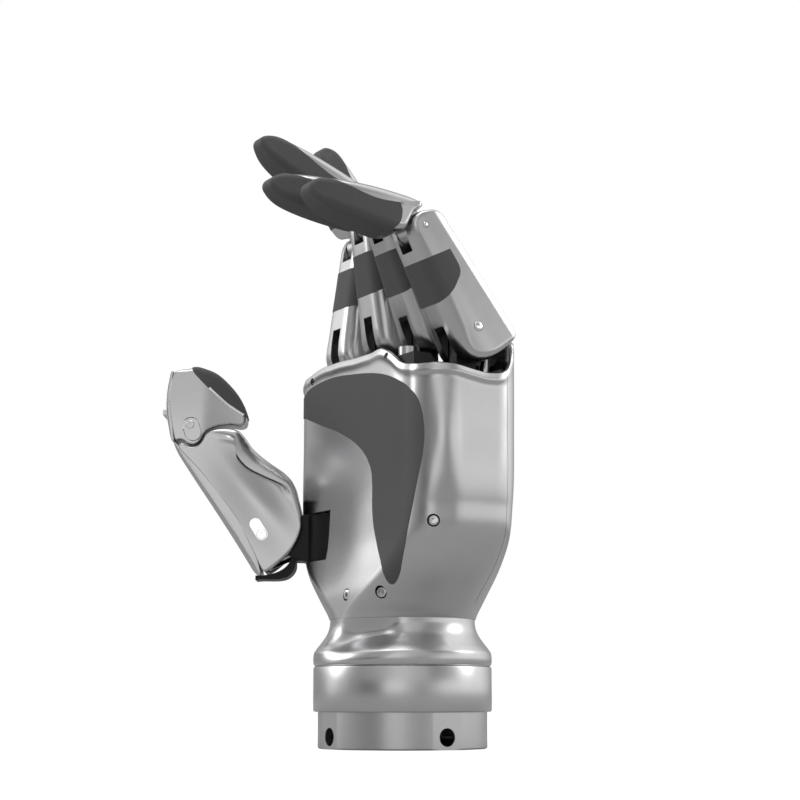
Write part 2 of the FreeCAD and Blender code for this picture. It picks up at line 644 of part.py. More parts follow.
def distal(name):
    """Fingertip in one piece with its tongue, and the rubber pad on its palm side."""
    reach = FINGERS[name]["distal"]
    stretch = reach / 39.0
    back, front = float(s.distal_back), float(s.distal_front)
    clear = float(s.pip_round) + float(s.pip_gap)
    half = float(distal_half_width)
    top = [(clear + 2.0, 0.3), (back - 0.7, 3.0), (back, 12.8), (back, 21.8 * stretch),
           (back - 1.2, 35.7 * stretch), (back - 2.8, 38.4 * stretch), (back - 5.2, 38.8 * stretch),
           (back - 7.4, 37.2 * stretch)]
    sole = [top[-1], (back - 9.4, 33.0 * stretch), (-2.9, 22 * stretch), (-front, 12.5), (-front + 0.6, 8.6)]
    profile = curved_prism([top, sole, [sole[-1], (-2.6, 6.6)], [(-2.6, 6.6), (0.0, clear + 0.2)],
                            [(0.0, clear + 0.2), (clear, 0.3)], [(clear, 0.3), top[0]]], "X", -30, 30)
    flank = [(half - 0.2, -10), (half, 6), (half + 0.1, 18 * stretch), (half - 1.0, 30 * stretch),
             (half - 3.6, 37 * stretch), (0, reach)]
    mirrored = [(-x, z) for x, z in reversed(flank)]
    plan = curved_prism([flank, mirrored, [mirrored[-1], flank[0]]], "Y", -30, 30)
    form = profile.common(plan)
    form = form.cut(bar(clear, 60, -30, 0, 0, (1, 0, 0)))
    seam = [(-14, 8.6), (4.6, 9.6), (4.3, 16.9 * stretch), (4.9, 22 * stretch), (6.0, 26.5 * stretch),
            (7.4, 32.4 * stretch), (8.4, reach + 3)]
    region = curved_prism([[seam[0], seam[1]], seam[1:], [seam[-1], (-14, reach + 3)],
                           [(-14, reach + 3), seam[0]]], "X", -30, 30)
    pad = form.common(region)
    shell = form.cut(region)
    tongue_half = float(s.tongue_thickness) / 2
    tongue = bar(clear - 0.6, 2 * tongue_half, -tongue_half, 0, 0, (1, 0, 0))
    root = Part.makeBox(2 * tongue_half, 4.2, 8.4, Vector(-tongue_half, -1.0, 0))
    shell = shell.fuse(tongue).fuse(root.cut(region)).cut(
        bar(float(s.tip_pin_radius) + float(s.pin_gap), 60, -30, 0, 0, (1, 0, 0)))
    keep(feature(name + "_distal_body", shell.removeSplitter()), name + "_distal_shell",
         tip_placement(name))
    keep(feature(name + "_tip_pad_body", pad), name + "_tip_pad", tip_placement(name))
    pin_half = float(finger_half_top) - 0.3
    pin = bar(float(s.tip_pin_radius), 2 * pin_half, -pin_half, 0, 0, (1, 0, 0))
    keep(feature(name + "_joint_pin_body", pin), name + "_joint_pin",
         Placement(tip_placement(name).Base, finger_placement(name).Rotation))


def rod_tip(name):
    """Height of the push rod's eye over the knuckle axis at rest."""
    angle = math.radians(FINGERS[name]["knuckle"])
    lever = 7.0
    return lever * (math.sin(angle) - math.cos(angle))


def finger_drive(name):
    """Linear actuator behind the palm frame, with its push rod up to the finger's heel."""
    at = FINGERS[name]
    x, y = finger_pitch * at["row"], s.rod_offset + at["y"]
    low, high = actuator_bottom, actuator_top
    gear_length = Dim(9.0)
    motor = cylinder(name + "_motor", s.actuator_radius - 0.4, high - low - gear_length, x, y, low)
    gearbox = cylinder(name + "_gearbox", s.actuator_radius, gear_length, x, y, high - gear_length)
    bore = cylinder(name + "_rod_bore", s.rod_radius + 0.1, high - low - 6, x, y, low + 8)
    keep(cut(name + "_actuator_body", fuse(name + "_actuator_round", motor, gearbox), bore),
         name + "_actuator")
    tip = at["z"] + rod_tip(name)
    rod = cylinder(name + "_rod_bar", s.rod_radius, tip - low - 17, x, y, low + 17)
    eye = cylinder(name + "_rod_end", s.rod_eye_radius, s.rod_eye_thickness,
                   x - s.rod_eye_thickness / 2, y, tip, "X")
    hole = cylinder(name + "_rod_hole", Dim(1.0), s.rod_eye_thickness + 2,
                    x - s.rod_eye_thickness / 2 - 1, y, tip, "X")
    keep(cut(name + "_rod_body", fuse(name + "_rod_round", rod, eye), hole), name + "_push_rod")


# Thumb points (y, z) in its own bending plane: pivot, tip joint, and the two ends of the push rod
THUMB = {"pivot": (-26.4, 71.5), "tip": (-50.9, 106.4), "rod": ((-22.6, 60.0), (-12.0, 64.42))}


def thumb_placement():
    return Placement(Vector(hub_x, s.hub_y, 0), Rotation(Vector(0, 0, 1), float(s.thumb_yaw)))


def thumb_hub():
    """Black swivel in the palm's corner: drum, journals, neck to the pivot and lower guard."""
    low, high = float(s.hub_bottom), float(s.hub_bottom + s.hub_height)
    neck_half = float(s.thumb_neck_half)
    py, pz = THUMB["pivot"]
    drum = bar(float(s.hub_radius), high - low, 0, 0, low)
    journal = bar(float(s.journal_radius) - 1, 4.0, 0, 0, low - 4.0)
    upper = bar(float(s.journal_radius), 2.2, 0, 0, high)
    nose = float(s.thumb_neck_radius)
    neck = prism([(-6, low), (-10, low), (py + 2.5, pz - nose * 0.92), (py, pz), (py + 1.8, pz + nose * 0.96),
                  (py + 8, high + 3.5), (-12.9, high + 5), (-12.9, high), (-6, high)],
                 "X", -neck_half, neck_half)
    neck = neck.fuse(bar(nose, 2 * neck_half, -neck_half, py, pz, (1, 0, 0)))
    guard = curved_prism([[(-26.6, 54.5), (-20, 54.7), (-15.4, 55.9), (-13.9, 57.6), (-13.4, 60.9)],
                          [(-13.4, 60.9), (-9.4, 60.9)], [(-9.4, 60.9), (-9.4, 62.4)], [(-9.4, 62.4), (-14.6, 62.4)],
                          [(-14.6, 62.4), (-16.2, 59.2), (-21, 56.6), (-26.6, 56.0)],
                          [(-26.6, 56.0), (-26.6, 54.5)]], "X", -neck_half + 1, neck_half - 1)
    hub = drum.fuse(journal).fuse(upper).fuse(neck).fuse(guard)
    channel = prism([(-30, 57), (-17, 59.6), (-10.4, 62.4), (-10.4, 68.8), (-12.6, 68.0), (-30, 61.5)],
                    "X", -3, 3)
    (y0, z0), (y1, z1) = THUMB["rod"]
    way = Vector(0, y1 - y0, z1 - z0)
    guide = Part.makeCylinder(float(s.thumb_rod_radius + s.pin_gap), way.Length + 6.5, Vector(0, y0, z0), way)
    hub = hub.cut(channel).cut(guide)
    hub = hub.cut(bar(float(s.thumb_pin_radius) + float(s.pin_gap), 60, -30, py, pz, (1, 0, 0)))
    keep(feature("thumb_hub_body", hub.removeSplitter()), "thumb_hub", thumb_placement())


def thumb_body_outline():
    """Side view of the thumb's main link: straight back, waisted palm side, seam with the tip on top."""
    seam = [(-57.2, 102.3), (-56.2, 102.9)]
    cup = [(-56.2, 102.9), (-54.6, 101.4), (-50.9, 100.5), (-47.2, 102.2), (-45.7, 105.0)]
    lip = [(-45.7, 105.0), (-43.9, 107.2), (-40.7, 108.4), (-37.8, 108.8), (-35.3, 108.3), (-32.5, 106.8)]
    palm_side = [(-32.5, 106.8), (-30.8, 103.3), (-28.2, 99.4), (-23, 94.4), (-17.5, 90.4), (-14.9, 86.0)]
    toe = [(-14.9, 86.0), (-12.4, 73.0)]
    arc = [(-12.4, 73.0), (-14.9, 65.8), (-19.4, 61.3), (-25.2, 57.4)]
    return curved_prism([seam, cup, lip, palm_side, toe, arc, [(-25.2, 57.4), (-28.6, 57.4)],
                         [(-28.6, 57.4), (-57.2, 102.3)]],
                        "X", -float(s.thumb_half_width), float(s.thumb_half_width))


def thumb_body():
    py, pz = THUMB["pivot"]
    ty, tz = THUMB["tip"]
    half = float(s.thumb_half_width)
    inner = half - float(s.thumb_wall)
    body = thumb_body_outline()
    long_edges = [e for e in body.Edges if abs(e.BoundBox.XLength) < 1e-6 and
                  e.BoundBox.ZLength > 30 and e.BoundBox.YLength > 20]
    body = body.makeFillet(3.2, long_edges)
    lower = prism([(-44.6, 87.0), (-23.6, 54), (-5, 54), (-5, 88), (-14.8, 83.0), (-24.5, 91.6), (-38, 93)],
                  "X", -inner, inner)
    upper = prism([(-55.4, 103.6), (-51.5, 96.8), (-44, 96.8), (-31.6, 98.2), (-34.6, 104.2), (-34.6, 112),
                   (-60, 112), (-60, 104.6)], "X", -inner, inner)
    body = body.cut(lower).cut(upper)
    body = body.cut(bar(float(s.thumb_pin_radius + s.pin_gap), 60, -30, py, pz, (1, 0, 0)))
    body = body.cut(bar(float(s.thumb_cover_radius) + 0.4, 60, -30, ty, tz, (1, 0, 0)))
    body = body.cut(bar(float(s.thumb_knuckle_radius) + 0.35, 2 * inner, -inner, ty, tz, (1, 0, 0)))
    keep(feature("thumb_body_solid", body), "thumb_body_shell", thumb_placement())


def thumb_tip():
    """Tip shell, narrower where it dips into the main link, its rubber pad and side covers."""
    ty, tz = THUMB["tip"]
    half = float(s.thumb_half_width) - float(s.thumb_wall) - 0.3
    outline = curved_prism([
        [(-56.6, 104.2), (-58.9, 110.0), (-59.2, 116.5), (-57.4, 126.4)],
        [(-57.4, 126.4), (-52.1, 127.2)],
        [(-52.1, 127.2), (-46.6, 127.4), (-41.4, 125.3), (-37.9, 122.3), (-34.7, 118.2), (-33.0, 114.7),
         (-32.4, 111.3)],
        [(-32.4, 111.3), (-35.4, 109.6)], [(-35.4, 109.6), (-37.6, 105.4)], [(-37.6, 105.4), (-45.6, 103.3)],
        [(-45.6, 103.3), (-47.4, 101.4), (-50.9, 100.3), (-54.4, 101.4), (-56.6, 104.2)]], "X", -half, half)
    region = curved_prism([[(-51.4, 130), (-50.4, 125.2), (-46.6, 121.8), (-41, 117.2), (-35.8, 113.0),
                            (-30, 109.4)], [(-30, 109.4), (-25, 130)], [(-25, 130), (-51.4, 130)]],
                          "X", -30, 30)
    pad = outline.common(region)
    shell = outline.cut(region)
    pin_hole = bar(float(s.thumb_tip_pin_radius + s.pin_gap), 60, -30, ty, tz, (1, 0, 0))
    caps = bar(float(s.thumb_cover_radius), 2 * float(s.thumb_half_width), -float(s.thumb_half_width),
               ty, tz, (1, 0, 0))
    shell = shell.fuse(caps).cut(pin_hole)
    keep(feature("thumb_tip_solid", shell.removeSplitter()), "thumb_tip_shell", thumb_placement())
    keep(feature("thumb_tip_pad_solid", pad), "thumb_tip_pad", thumb_placement())


def thumb_pins():
    py, pz = THUMB["pivot"]
    ty, tz = THUMB["tip"]
    half = float(s.thumb_half_width)
    pivot = bar(float(s.thumb_pin_radius), 2 * half - 0.4, -half + 0.2, py, pz, (1, 0, 0))
    keep(feature("thumb_pivot_pin_solid", pivot), "thumb_pivot_pin", thumb_placement())
    joint = bar(float(s.thumb_tip_pin_radius), 2 * half - 0.6, -half + 0.3, ty, tz, (1, 0, 0))
    keep(feature("thumb_tip_pin_solid", joint), "thumb_tip_pin", thumb_placement())


def thumb_rod():
    """Bright rod end under the thumb, sliding out of the hub below the pivot."""
    start, end = THUMB["rod"]
    way = Vector(0, end[0] - start[0], end[1] - start[1])
    base = Vector(0, start[0], start[1])
    radius = float(s.thumb_rod_radius)
    rod = Part.makeCylinder(radius, way.Length, base, way)
    eye = bar(radius, 3.6, -1.8, start[0], start[1], (1, 0, 0))
    rod = rod.fuse(eye).cut(bar(0.8, 10, -5, start[0], start[1], (1, 0, 0)))
    keep(feature("thumb_rod_solid", rod), "thumb_push_rod", thumb_placement())


def thumb_drive():
    top = float(s.hub_bottom + s.hub_height)
    ring = bar(float(s.bearing_radius), 2.0, float(hub_x), float(s.hub_y), top + 0.2)
    ring = ring.cut(bar(float(s.journal_radius) + 0.05, 4, float(hub_x), float(s.hub_y), top - 1))
    keep(feature("thumb_yaw_bearing_solid", ring), "thumb_yaw_bearing")
    motor = cylinder("yaw_motor_can", s.yaw_motor_radius, s.yaw_motor_height, hub_x, s.hub_y,
                     s.hub_bottom + s.hub_height + 2.3)
    keep(motor, "thumb_yaw_motor")


def electronics():
    board = box("control_board_plate", s.board_width, s.board_thickness, s.board_height,
                -s.board_width / 2 + 4, -s.frame_thickness / 2 - s.board_thickness - 3, palm_bottom + 16)
    posts = [cylinder("board_post_%d" % i, Dim(1.5), Dim(3.0), x, -s.frame_thickness / 2 - 3, z, "Y")
             for i, (x, z) in enumerate(((-2, palm_bottom + 28), (8, palm_bottom + 28),
                                         (-2, palm_bottom + 48), (8, palm_bottom + 48)))]
    chips = [box("board_chip_%d" % i, Dim(7), Dim(1.2), Dim(7), x, -s.frame_thickness / 2
                 - s.board_thickness - 4.2, z) for i, (x, z) in enumerate(((-5, palm_bottom + 20),
                                                                          (6, palm_bottom + 36)))]
    keep(fuse("control_board_body", board, *posts, *chips), "control_board")
    plug = cylinder("wrist_connector_block", s.neck_bore - 0.02, s.connector_height, 0, 0,
                    palm_bottom - s.neck_roof)
    keep(plug, "wrist_connector")


def screws():
    """Shell screws, each with its head flush with the palm's surface."""
    solids = [Part.makeCylinder(float(s.screw_radius), 4.2, start, inward)
              for start, inward in screw_lines(palm_form(0))]
    keep(feature("palm_screws_solid", Part.Compound(solids)), "palm_screws")


def build():
    wrist_ring()
    wrist_collar()
    wrist_neck()
    palm_shells()
    palm_frame()
    knuckle_bridge()
    knuckle_boss()
    knuckle_pins()
    for name in FINGERS:
        proximal(name)
        distal(name)
        finger_drive(name)
    thumb_hub()
    thumb_body()
    thumb_tip()
    thumb_pins()
    thumb_rod()
    thumb_drive()
    electronics()
    screws()


def write_parts():
    doc.recompute()
    for obj in doc.Objects:
        if "Invalid" in obj.State or "Error" in obj.State:
            raise RuntimeError("failed: " + obj.Name)
    for label, obj in parts.items():
        shape = obj.Shape
        if shape.isNull() or not shape.isValid() or not shape.Solids:
            raise RuntimeError("bad shape: " + label)
    os.makedirs("parts", exist_ok=True)
    for label, obj in parts.items():
        obj.Shape.exportStep("parts/" + label + ".step")
    print("nodes", len(parts), "solids", sum(len(o.Shape.Solids) for o in parts.values()))


build()
write_parts()
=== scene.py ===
import json
import math
import bpy
import bmesh
import numpy as np
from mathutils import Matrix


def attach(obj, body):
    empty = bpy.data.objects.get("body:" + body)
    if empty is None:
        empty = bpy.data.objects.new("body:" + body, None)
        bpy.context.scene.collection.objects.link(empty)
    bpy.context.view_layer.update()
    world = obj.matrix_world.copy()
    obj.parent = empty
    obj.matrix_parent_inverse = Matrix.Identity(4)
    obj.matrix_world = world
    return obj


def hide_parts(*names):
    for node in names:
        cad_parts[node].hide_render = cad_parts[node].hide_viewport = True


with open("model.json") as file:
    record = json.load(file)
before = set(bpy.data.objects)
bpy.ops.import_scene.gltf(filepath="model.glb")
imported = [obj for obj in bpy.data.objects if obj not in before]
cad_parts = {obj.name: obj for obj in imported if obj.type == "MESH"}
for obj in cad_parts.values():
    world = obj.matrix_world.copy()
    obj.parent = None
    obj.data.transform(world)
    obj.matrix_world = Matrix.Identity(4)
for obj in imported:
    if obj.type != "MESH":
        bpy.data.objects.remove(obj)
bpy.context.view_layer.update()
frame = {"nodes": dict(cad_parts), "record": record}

# Left robot hand. Shapes are written in millimetres and stored in metres.
mm = 0.001


def say(text):
    print("hand:", text)


# A smooth curve through the points: each span is a cubic whose end slopes come from its neighbours.
def curveThrough(points, perSpan=8, closed=True):
    p = np.asarray(points, float)
    if closed:
        a, b, c, d = np.roll(p, 1, 0), p, np.roll(p, -1, 0), np.roll(p, -2, 0)
    else:
        b, c = p[:-1], p[1:]
        a = np.vstack([2 * p[:1] - p[1:2], p[:-2]])
        d = np.vstack([p[2:], 2 * p[-1:] - p[-2:-1]])
    t = np.arange(perSpan)[None, :, None] / perSpan
    a, b, c, d = (v[:, None, :] for v in (a, b, c, d))
    line = 0.5 * (2 * b + (c - a) * t + (2 * a - 5 * b + 4 * c - d) * t ** 2
                  + (3 * b - a - 3 * c + d) * t ** 3)
    line = line.reshape(-1, p.shape[1])
    return line if closed else np.vstack([line, p[-1:]])


# Smooth value at x from a short table: cubic between entries, with slopes from the neighbouring entries.
def smoothTable(x, table):
    xp, fp = np.array(table, float).T
    slope = np.gradient(fp, xp)
    i = np.clip(np.searchsorted(xp, x, side="right") - 1, 0, len(xp) - 2)
    h = xp[i + 1] - xp[i]
    t = np.clip((x - xp[i]) / h, 0, 1)
    return (fp[i] * (1 + 2 * t) * (1 - t) ** 2 + h * slope[i] * t * (1 - t) ** 2
            + fp[i + 1] * t * t * (3 - 2 * t) + h * slope[i + 1] * t * t * (t - 1))


# Writes points (mm) and faces into a new object.
def newPiece(name, points, faces):
    mesh = bpy.data.meshes.new(name)
    mesh.from_pydata((np.asarray(points) * mm).tolist(), [], [list(f) for f in faces])
    mesh.update()
    piece = bpy.data.objects.new(name, mesh)
    bpy.context.collection.objects.link(piece)
    return piece


# A grid of rows of closed rings becomes a skin; the first and last rings close on their own centres.
def skinOf(name, grid, closeEnds=True):
    rows, cols = grid.shape[:2]
    index = np.arange(rows * cols).reshape(rows, cols)
    after = np.roll(index, -1, 1)
    quads = np.stack([index[:-1], after[:-1], after[1:], index[1:]], -1).reshape(-1, 4)
    points = grid.reshape(-1, 3)
    faces = [tuple(q) for q in quads]
    if closeEnds:
        low, high = len(points), len(points) + 1
        points = np.vstack([points, grid[0].mean(0), grid[-1].mean(0)])
        faces += [(low, b, a) for a, b in zip(index[0], after[0])]
        faces += [(high, a, b) for a, b in zip(index[-1], after[-1])]
    return faceOut(newPiece(name, points, faces))


# Merges doubled points and turns every face outwards.
def faceOut(piece):
    work = bmesh.new()
    work.from_mesh(piece.data)
    bmesh.ops.remove_doubles(work, verts=work.verts, dist=1e-6)
    bmesh.ops.recalc_face_normals(work, faces=work.faces)
    work.to_mesh(piece.data)
    work.free()
    return piece


# A straight block over an outline: axis x takes (y, z) outlines, axis y takes (x, z), axis z takes (x, y).
def block(name, outline, axis, low, high):
    flat = np.asarray(outline, float)
    column = {"x": 0, "y": 1, "z": 2}[axis]
    ends = [np.insert(flat, column, level, axis=1) for level in (low, high)]
    count = len(flat)
    ring = [(i, (i + 1) % count, (i + 1) % count + count, i + count) for i in range(count)]
    caps = [tuple(range(count)), tuple(range(count, 2 * count))]
    return faceOut(newPiece(name, np.vstack(ends), ring + caps))


# A round bar along an axis, from its centre, radius and the two ends on that axis.
def barOf(name, centre, radius, axis, low, high, sides=48):
    turn = np.linspace(0, 2 * np.pi, sides, endpoint=False)
    ring = np.stack([centre[0] + radius * np.cos(turn), centre[1] + radius * np.sin(turn)], 1)
    return block(name, ring, axis, low, high)


# An obround block: two half circles joined by straight sides, between two ends on the axis.
def obround(name, first, second, radius, low, high, sides=20):
    a, b = np.array(first, float), np.array(second, float)
    lean = math.atan2(b[1] - a[1], b[0] - a[0])
    turn = lean + np.linspace(-np.pi / 2, np.pi / 2, sides)
    arc = radius * np.stack([np.cos(turn), np.sin(turn)], 1)
    return block(name, np.vstack([b + arc, a - arc]), "x", low, high)


# A turned piece: each (radius, height) is carried once round Z.
def turned(name, profile, sides=160):
    p = np.asarray(profile, float)
    turn = np.linspace(0, 2 * np.pi, sides, endpoint=False)
    grid = np.stack([p[:, :1] * np.cos(turn), p[:, :1] * np.sin(turn),
                     np.repeat(p[:, 1:], sides, 1)], -1)
    return skinOf(name, np.concatenate([grid, grid[:1]]), closeEnds=False)


# Ridge and flute of a cheek, as shares of the way out from its middle, and the deepest round edge in mm
cheekLines = {"ridge": 0.87, "ridgeWide": 0.035, "ridgeHigh": 0.45, "flute": 0.955, "fluteWide": 0.03,
              "deepest": 4.4}


# An outline (y, z) carried across x: the edges are round and the cheeks lie at halfAt(y, z). Points may
# also hold their own edge radius and the depth of a flute that runs just inside the edge, beside a ridge.
# The rings are shares of the way from a cheek's middle to where its round edge starts.
def pillow(name, outline, halfAt, rings, edge=0.2, grow=0.0, across=6):
    lie = cheekLines
    table = np.asarray(outline, float)
    line = table[:, :2]
    edge = table[:, 2] if table.shape[1] > 2 else np.full(len(line), edge)
    flute = table[:, 3] if table.shape[1] > 3 else np.zeros(len(line))
    ahead = np.roll(line, -1, 0) - np.roll(line, 1, 0)
    area = np.sum(line[:, 0] * np.roll(line[:, 1], -1) - np.roll(line[:, 0], -1) * line[:, 1])
    normal = np.stack([ahead[:, 1], -ahead[:, 0]], 1) * (1 if area > 0 else -1)
    normal /= np.linalg.norm(normal, axis=1)[:, None]
    line = line + normal * grow
    cheek = line - normal * edge[:, None]
    middle = cheek.mean(0)
    deep = np.minimum(edge, lie["deepest"])
    rows = []
    arc = np.linspace(0, np.pi / 2, 9)
    for side in (-1, 1):
        part = []
        for s in rings:
            flat = middle + (cheek - middle) * s
            ridge = (lie["ridgeHigh"] * math.exp(-((s - lie["ridge"]) / lie["ridgeWide"]) ** 2)
                     - math.exp(-((s - lie["flute"]) / lie["fluteWide"]) ** 2))
            out = halfAt(flat[:, 0], flat[:, 1]) + (grow + flute * ridge)
            part.append(np.stack([side * out, flat[:, 0], flat[:, 1]], 1))
        rim = halfAt(cheek[:, 0], cheek[:, 1]) + grow
        for a in arc:
            flat = line - normal * (edge * (1 - math.sin(a)))[:, None]
            part.append(np.stack([side * (rim - deep * (1 - math.cos(a))), flat[:, 0], flat[:, 1]], 1))
        rows.append(part if side < 0 else part[::-1])
    start, end = rows[0][-1], rows[1][0]
    between = [start + (end - start) * k / across for k in range(1, across)]
    return skinOf(name, np.array(rows[0] + between + rows[1]))


# Cuts the tool out of the piece, or with INTERSECT keeps what lies inside it, and deletes the tool.
def carve(piece, tool, how="DIFFERENCE"):
    step = piece.modifiers.new("carve", "BOOLEAN")
    step.object = tool
    step.operation = how
    step.solver = "EXACT"
    step.use_self = how == "INTERSECT"
    bpy.context.view_layer.update()
    done = bpy.data.meshes.new_from_object(piece.evaluated_get(bpy.context.evaluated_depsgraph_get()))
    piece.modifiers.clear()
    piece.data = done
    bpy.data.objects.remove(tool)


# Puts several pieces into one mesh and deletes the single ones.
def joined(name, pieces):
    work = bmesh.new()
    for piece in pieces:
        work.from_mesh(piece.data)
        bpy.data.objects.remove(piece)
    mesh = bpy.data.meshes.new(name)
    work.to_mesh(mesh)
    work.free()
    whole = bpy.data.objects.new(name, mesh)
    bpy.context.collection.objects.link(whole)
    return whole


# Carries a piece's points elsewhere in its mesh: times a 3 x 3 table, then shifted by a place in mm.
def relaid(piece, table, to=(0, 0, 0)):
    points = np.empty(len(piece.data.vertices) * 3)
    piece.data.vertices.foreach_get("co", points)
    points = points.reshape(-1, 3) @ np.asarray(table, float) + np.array(to) * mm
    piece.data.vertices.foreach_set("co", points.ravel())
    piece.data.update()
    return piece


alongX = np.array([[0, 1, 0], [0, 0, 1], [1, 0, 0]])   # takes a turned piece's axis from Z to X
alongY = np.array([[-1, 0, 0], [0, 0, 1], [0, 1, 0]])  # and this one from Z to Y


# Turns a piece about X or Z by an angle and then moves it.
def moved(piece, degrees=0, to=(0, 0, 0), axis="x"):
    angle = math.radians(degrees)
    c, s = math.cos(angle), math.sin(angle)
    turns = {"x": [[1, 0, 0], [0, c, s], [0, -s, c]], "z": [[c, s, 0], [-s, c, 0], [0, 0, 1]]}
    return relaid(piece, turns[axis], to)


# Gives a piece its material, soft shading with sharp edges past an angle and its body, and hides its CAD
# nodes. The slot is not used.
def finished(piece, material, body, slot, *nodes, sharp=32):
    piece.data.materials.clear()
    piece.data.materials.append(material)
    piece.data.polygons.foreach_set("use_smooth", [True] * len(piece.data.polygons))
    piece.data.set_sharp_from_angle(angle=math.radians(sharp))
    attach(piece, body)
    if nodes:
        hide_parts(*nodes)


# A colour written as sRGB hex, turned to the linear values that a shader takes.
def linear(hexColour):
    channels = [int(hexColour[i:i + 2], 16) / 255 for i in (1, 3, 5)]
    return tuple(c / 12.92 if c <= 0.04045 else ((c + 0.055) / 1.055) ** 2.4 for c in channels) + (1.0,)


# Adds a node with its settings (inputs by name or number, or the node's own) and links (input to source).
def addNode(tree, kind, settings=None, links=None):
    node = tree.nodes.new(kind)
    for key, value in (settings or {}).items():
        if isinstance(key, int) or key in node.inputs:
            node.inputs[key].default_value = value
        else:
            setattr(node, key, value)
    for socket, source in (links or {}).items():
        tree.links.new(source, node.inputs[socket])
    return node


# A new material with one surface shader on its output.
def newMaterial(name, surface):
    material = bpy.data.materials.new(name)
    material.use_nodes = True
    tree = material.node_tree
    tree.nodes.clear()
    shader = addNode(tree, "ShaderNodeBsdfPrincipled", surface)
    addNode(tree, "ShaderNodeOutputMaterial", links={"Surface": shader.outputs[0]})
    return material, tree, shader


# Fine roughness and bump from noise, shared by every finish. The scale is in cells per metre, so 1000 is
# one for each millimetre: real moulded or blasted grain is finer, and is drawn as coarse as shows here.
def grain(tree, shader, scale, roughLow, roughHigh, bump, stretch=(1, 1, 1)):
    place = addNode(tree, "ShaderNodeTexCoord")
    size = addNode(tree, "ShaderNodeMapping", {"Scale": stretch}, {"Vector": place.outputs["Object"]})
    noise = addNode(tree, "ShaderNodeTexNoise", {"Scale": scale, "Detail": 4.0},
                    {"Vector": size.outputs[0]})
    rough = addNode(tree, "ShaderNodeMapRange", {"To Min": roughLow, "To Max": roughHigh},
                    {"Value": noise.outputs["Fac"]})
    tree.links.new(rough.outputs[0], shader.inputs["Roughness"])
    relief = addNode(tree, "ShaderNodeBump", {"Strength": bump, "Distance": 0.00005},
                     {"Height": noise.outputs["Fac"]})
    tree.links.new(relief.outputs[0], shader.inputs["Normal"])
    return noise


# Base colour between a dark and a light shade, by a pattern's value.
def shades(tree, shader, source, dark, light):
    ramp = addNode(tree, "ShaderNodeMix", {"data_type": "RGBA"})
    ramp.inputs[6].default_value = linear(dark)
    ramp.inputs[7].default_value = linear(light)
    tree.links.new(source, ramp.inputs[0])
    tree.links.new(ramp.outputs[2], shader.inputs["Base Color"])


# Cast aluminium, bead blasted and hand polished: broad soft reflections, with a faint cloudiness in
# patches 4 mm wide.
def satinAluminium():
    material, tree, shader = newMaterial("satinAluminium", {"Metallic": 1.0})
    noise = grain(tree, shader, 260.0, 0.25, 0.28, 0.012)
    shades(tree, shader, noise.outputs["Fac"], "#c2c2c3", "#c8c8c9")
    return material


# Moulded silicone rubber: soft wide highlight and a moulded tooth, drawn 0.7 mm wide so that it shows.
def gripRubber():
    material, tree, shader = newMaterial("gripRubber", {"IOR": 1.42, "Specular IOR Level": 0.35})
    noise = grain(tree, shader, 1400.0, 0.58, 0.70, 0.25)
    shades(tree, shader, noise.outputs["Fac"], "#515152", "#5d5d5e")
    return material


# Glass-filled nylon, moulded black: dull sheen, slightly mottled by the glass, in flecks of 0.9 mm.
def blackNylon():
    material, tree, shader = newMaterial("blackNylon", {"IOR": 1.52, "Specular IOR Level": 0.28})
    noise = grain(tree, shader, 1100.0, 0.40, 0.52, 0.2)
    shades(tree, shader, noise.outputs["Fac"], "#0c0c0d", "#151516")
    return material


# Turned stainless steel: brighter and sharper than the cast shells, its lathe marks six times finer
# along Z than across.
def turnedSteel():
    material, tree, shader = newMaterial("turnedSteel", {"Metallic": 1.0, "Anisotropic": 0.4})
    noise = grain(tree, shader, 700.0, 0.16, 0.26, 0.06, (1, 1, 6))
    shades(tree, shader, noise.outputs["Fac"], "#c4c4c6", "#dcdcde")
    return material


# Ground and polished stainless steel: nearly a mirror, so it carries the light boxes as white.
# Along the thumb's pad this bright finish also serves as a painted highlight.
def polishedSteel():
    material, tree, shader = newMaterial("polishedSteel", {"Metallic": 1.0})
    noise = grain(tree, shader, 400.0, 0.10, 0.14, 0.02)
    shades(tree, shader, noise.outputs["Fac"], "#f0f0f1", "#f6f6f7")
    return material


# Zinc-plated motor can: greyer steel with drawn lines along it.
def platedCan():
    material, tree, shader = newMaterial("platedCan", {"Metallic": 1.0})
    noise = grain(tree, shader, 500.0, 0.28, 0.40, 0.08, (6, 6, 1))
    shades(tree, shader, noise.outputs["Fac"], "#8c8c8f", "#a0a0a3")
    return material


# Epoxy board under green solder mask: even gloss.
def solderMask():
    material, tree, shader = newMaterial("solderMask", {"Coat Weight": 0.5, "Coat Roughness": 0.15})
    noise = grain(tree, shader, 600.0, 0.35, 0.45, 0.05)
    shades(tree, shader, noise.outputs["Fac"], "#123a24", "#1a4a30")
    return material


metal, rubber, nylon = satinAluminium(), gripRubber(), blackNylon()
steel, can, board, polished = turnedSteel(), platedCan(), solderMask(), polishedSteel()
bySlot = {"satin_metal": metal, "grip_rubber": rubber, "black_plastic": nylon, "steel": steel,
          "motor_can": can, "circuit_board": board}
for entry in frame["record"]["subparts"]:
    node = frame["nodes"][entry["node"]]
    for place in node.material_slots:
        place.material = bySlot[entry["material_slot"]]
say("materials")


# Wrist: radii and heights of ring and collar, and the ring's four milled flats with their fixing holes
wrist = {"ring": 27.0, "ringTop": 11.4, "edge": 0.4, "collar": 28.5, "collarTop": 25.6, "socket": 19.0,
         "hole": 2.8, "holeHeight": 3.8, "flat": 10.3, "seam": 0.02}


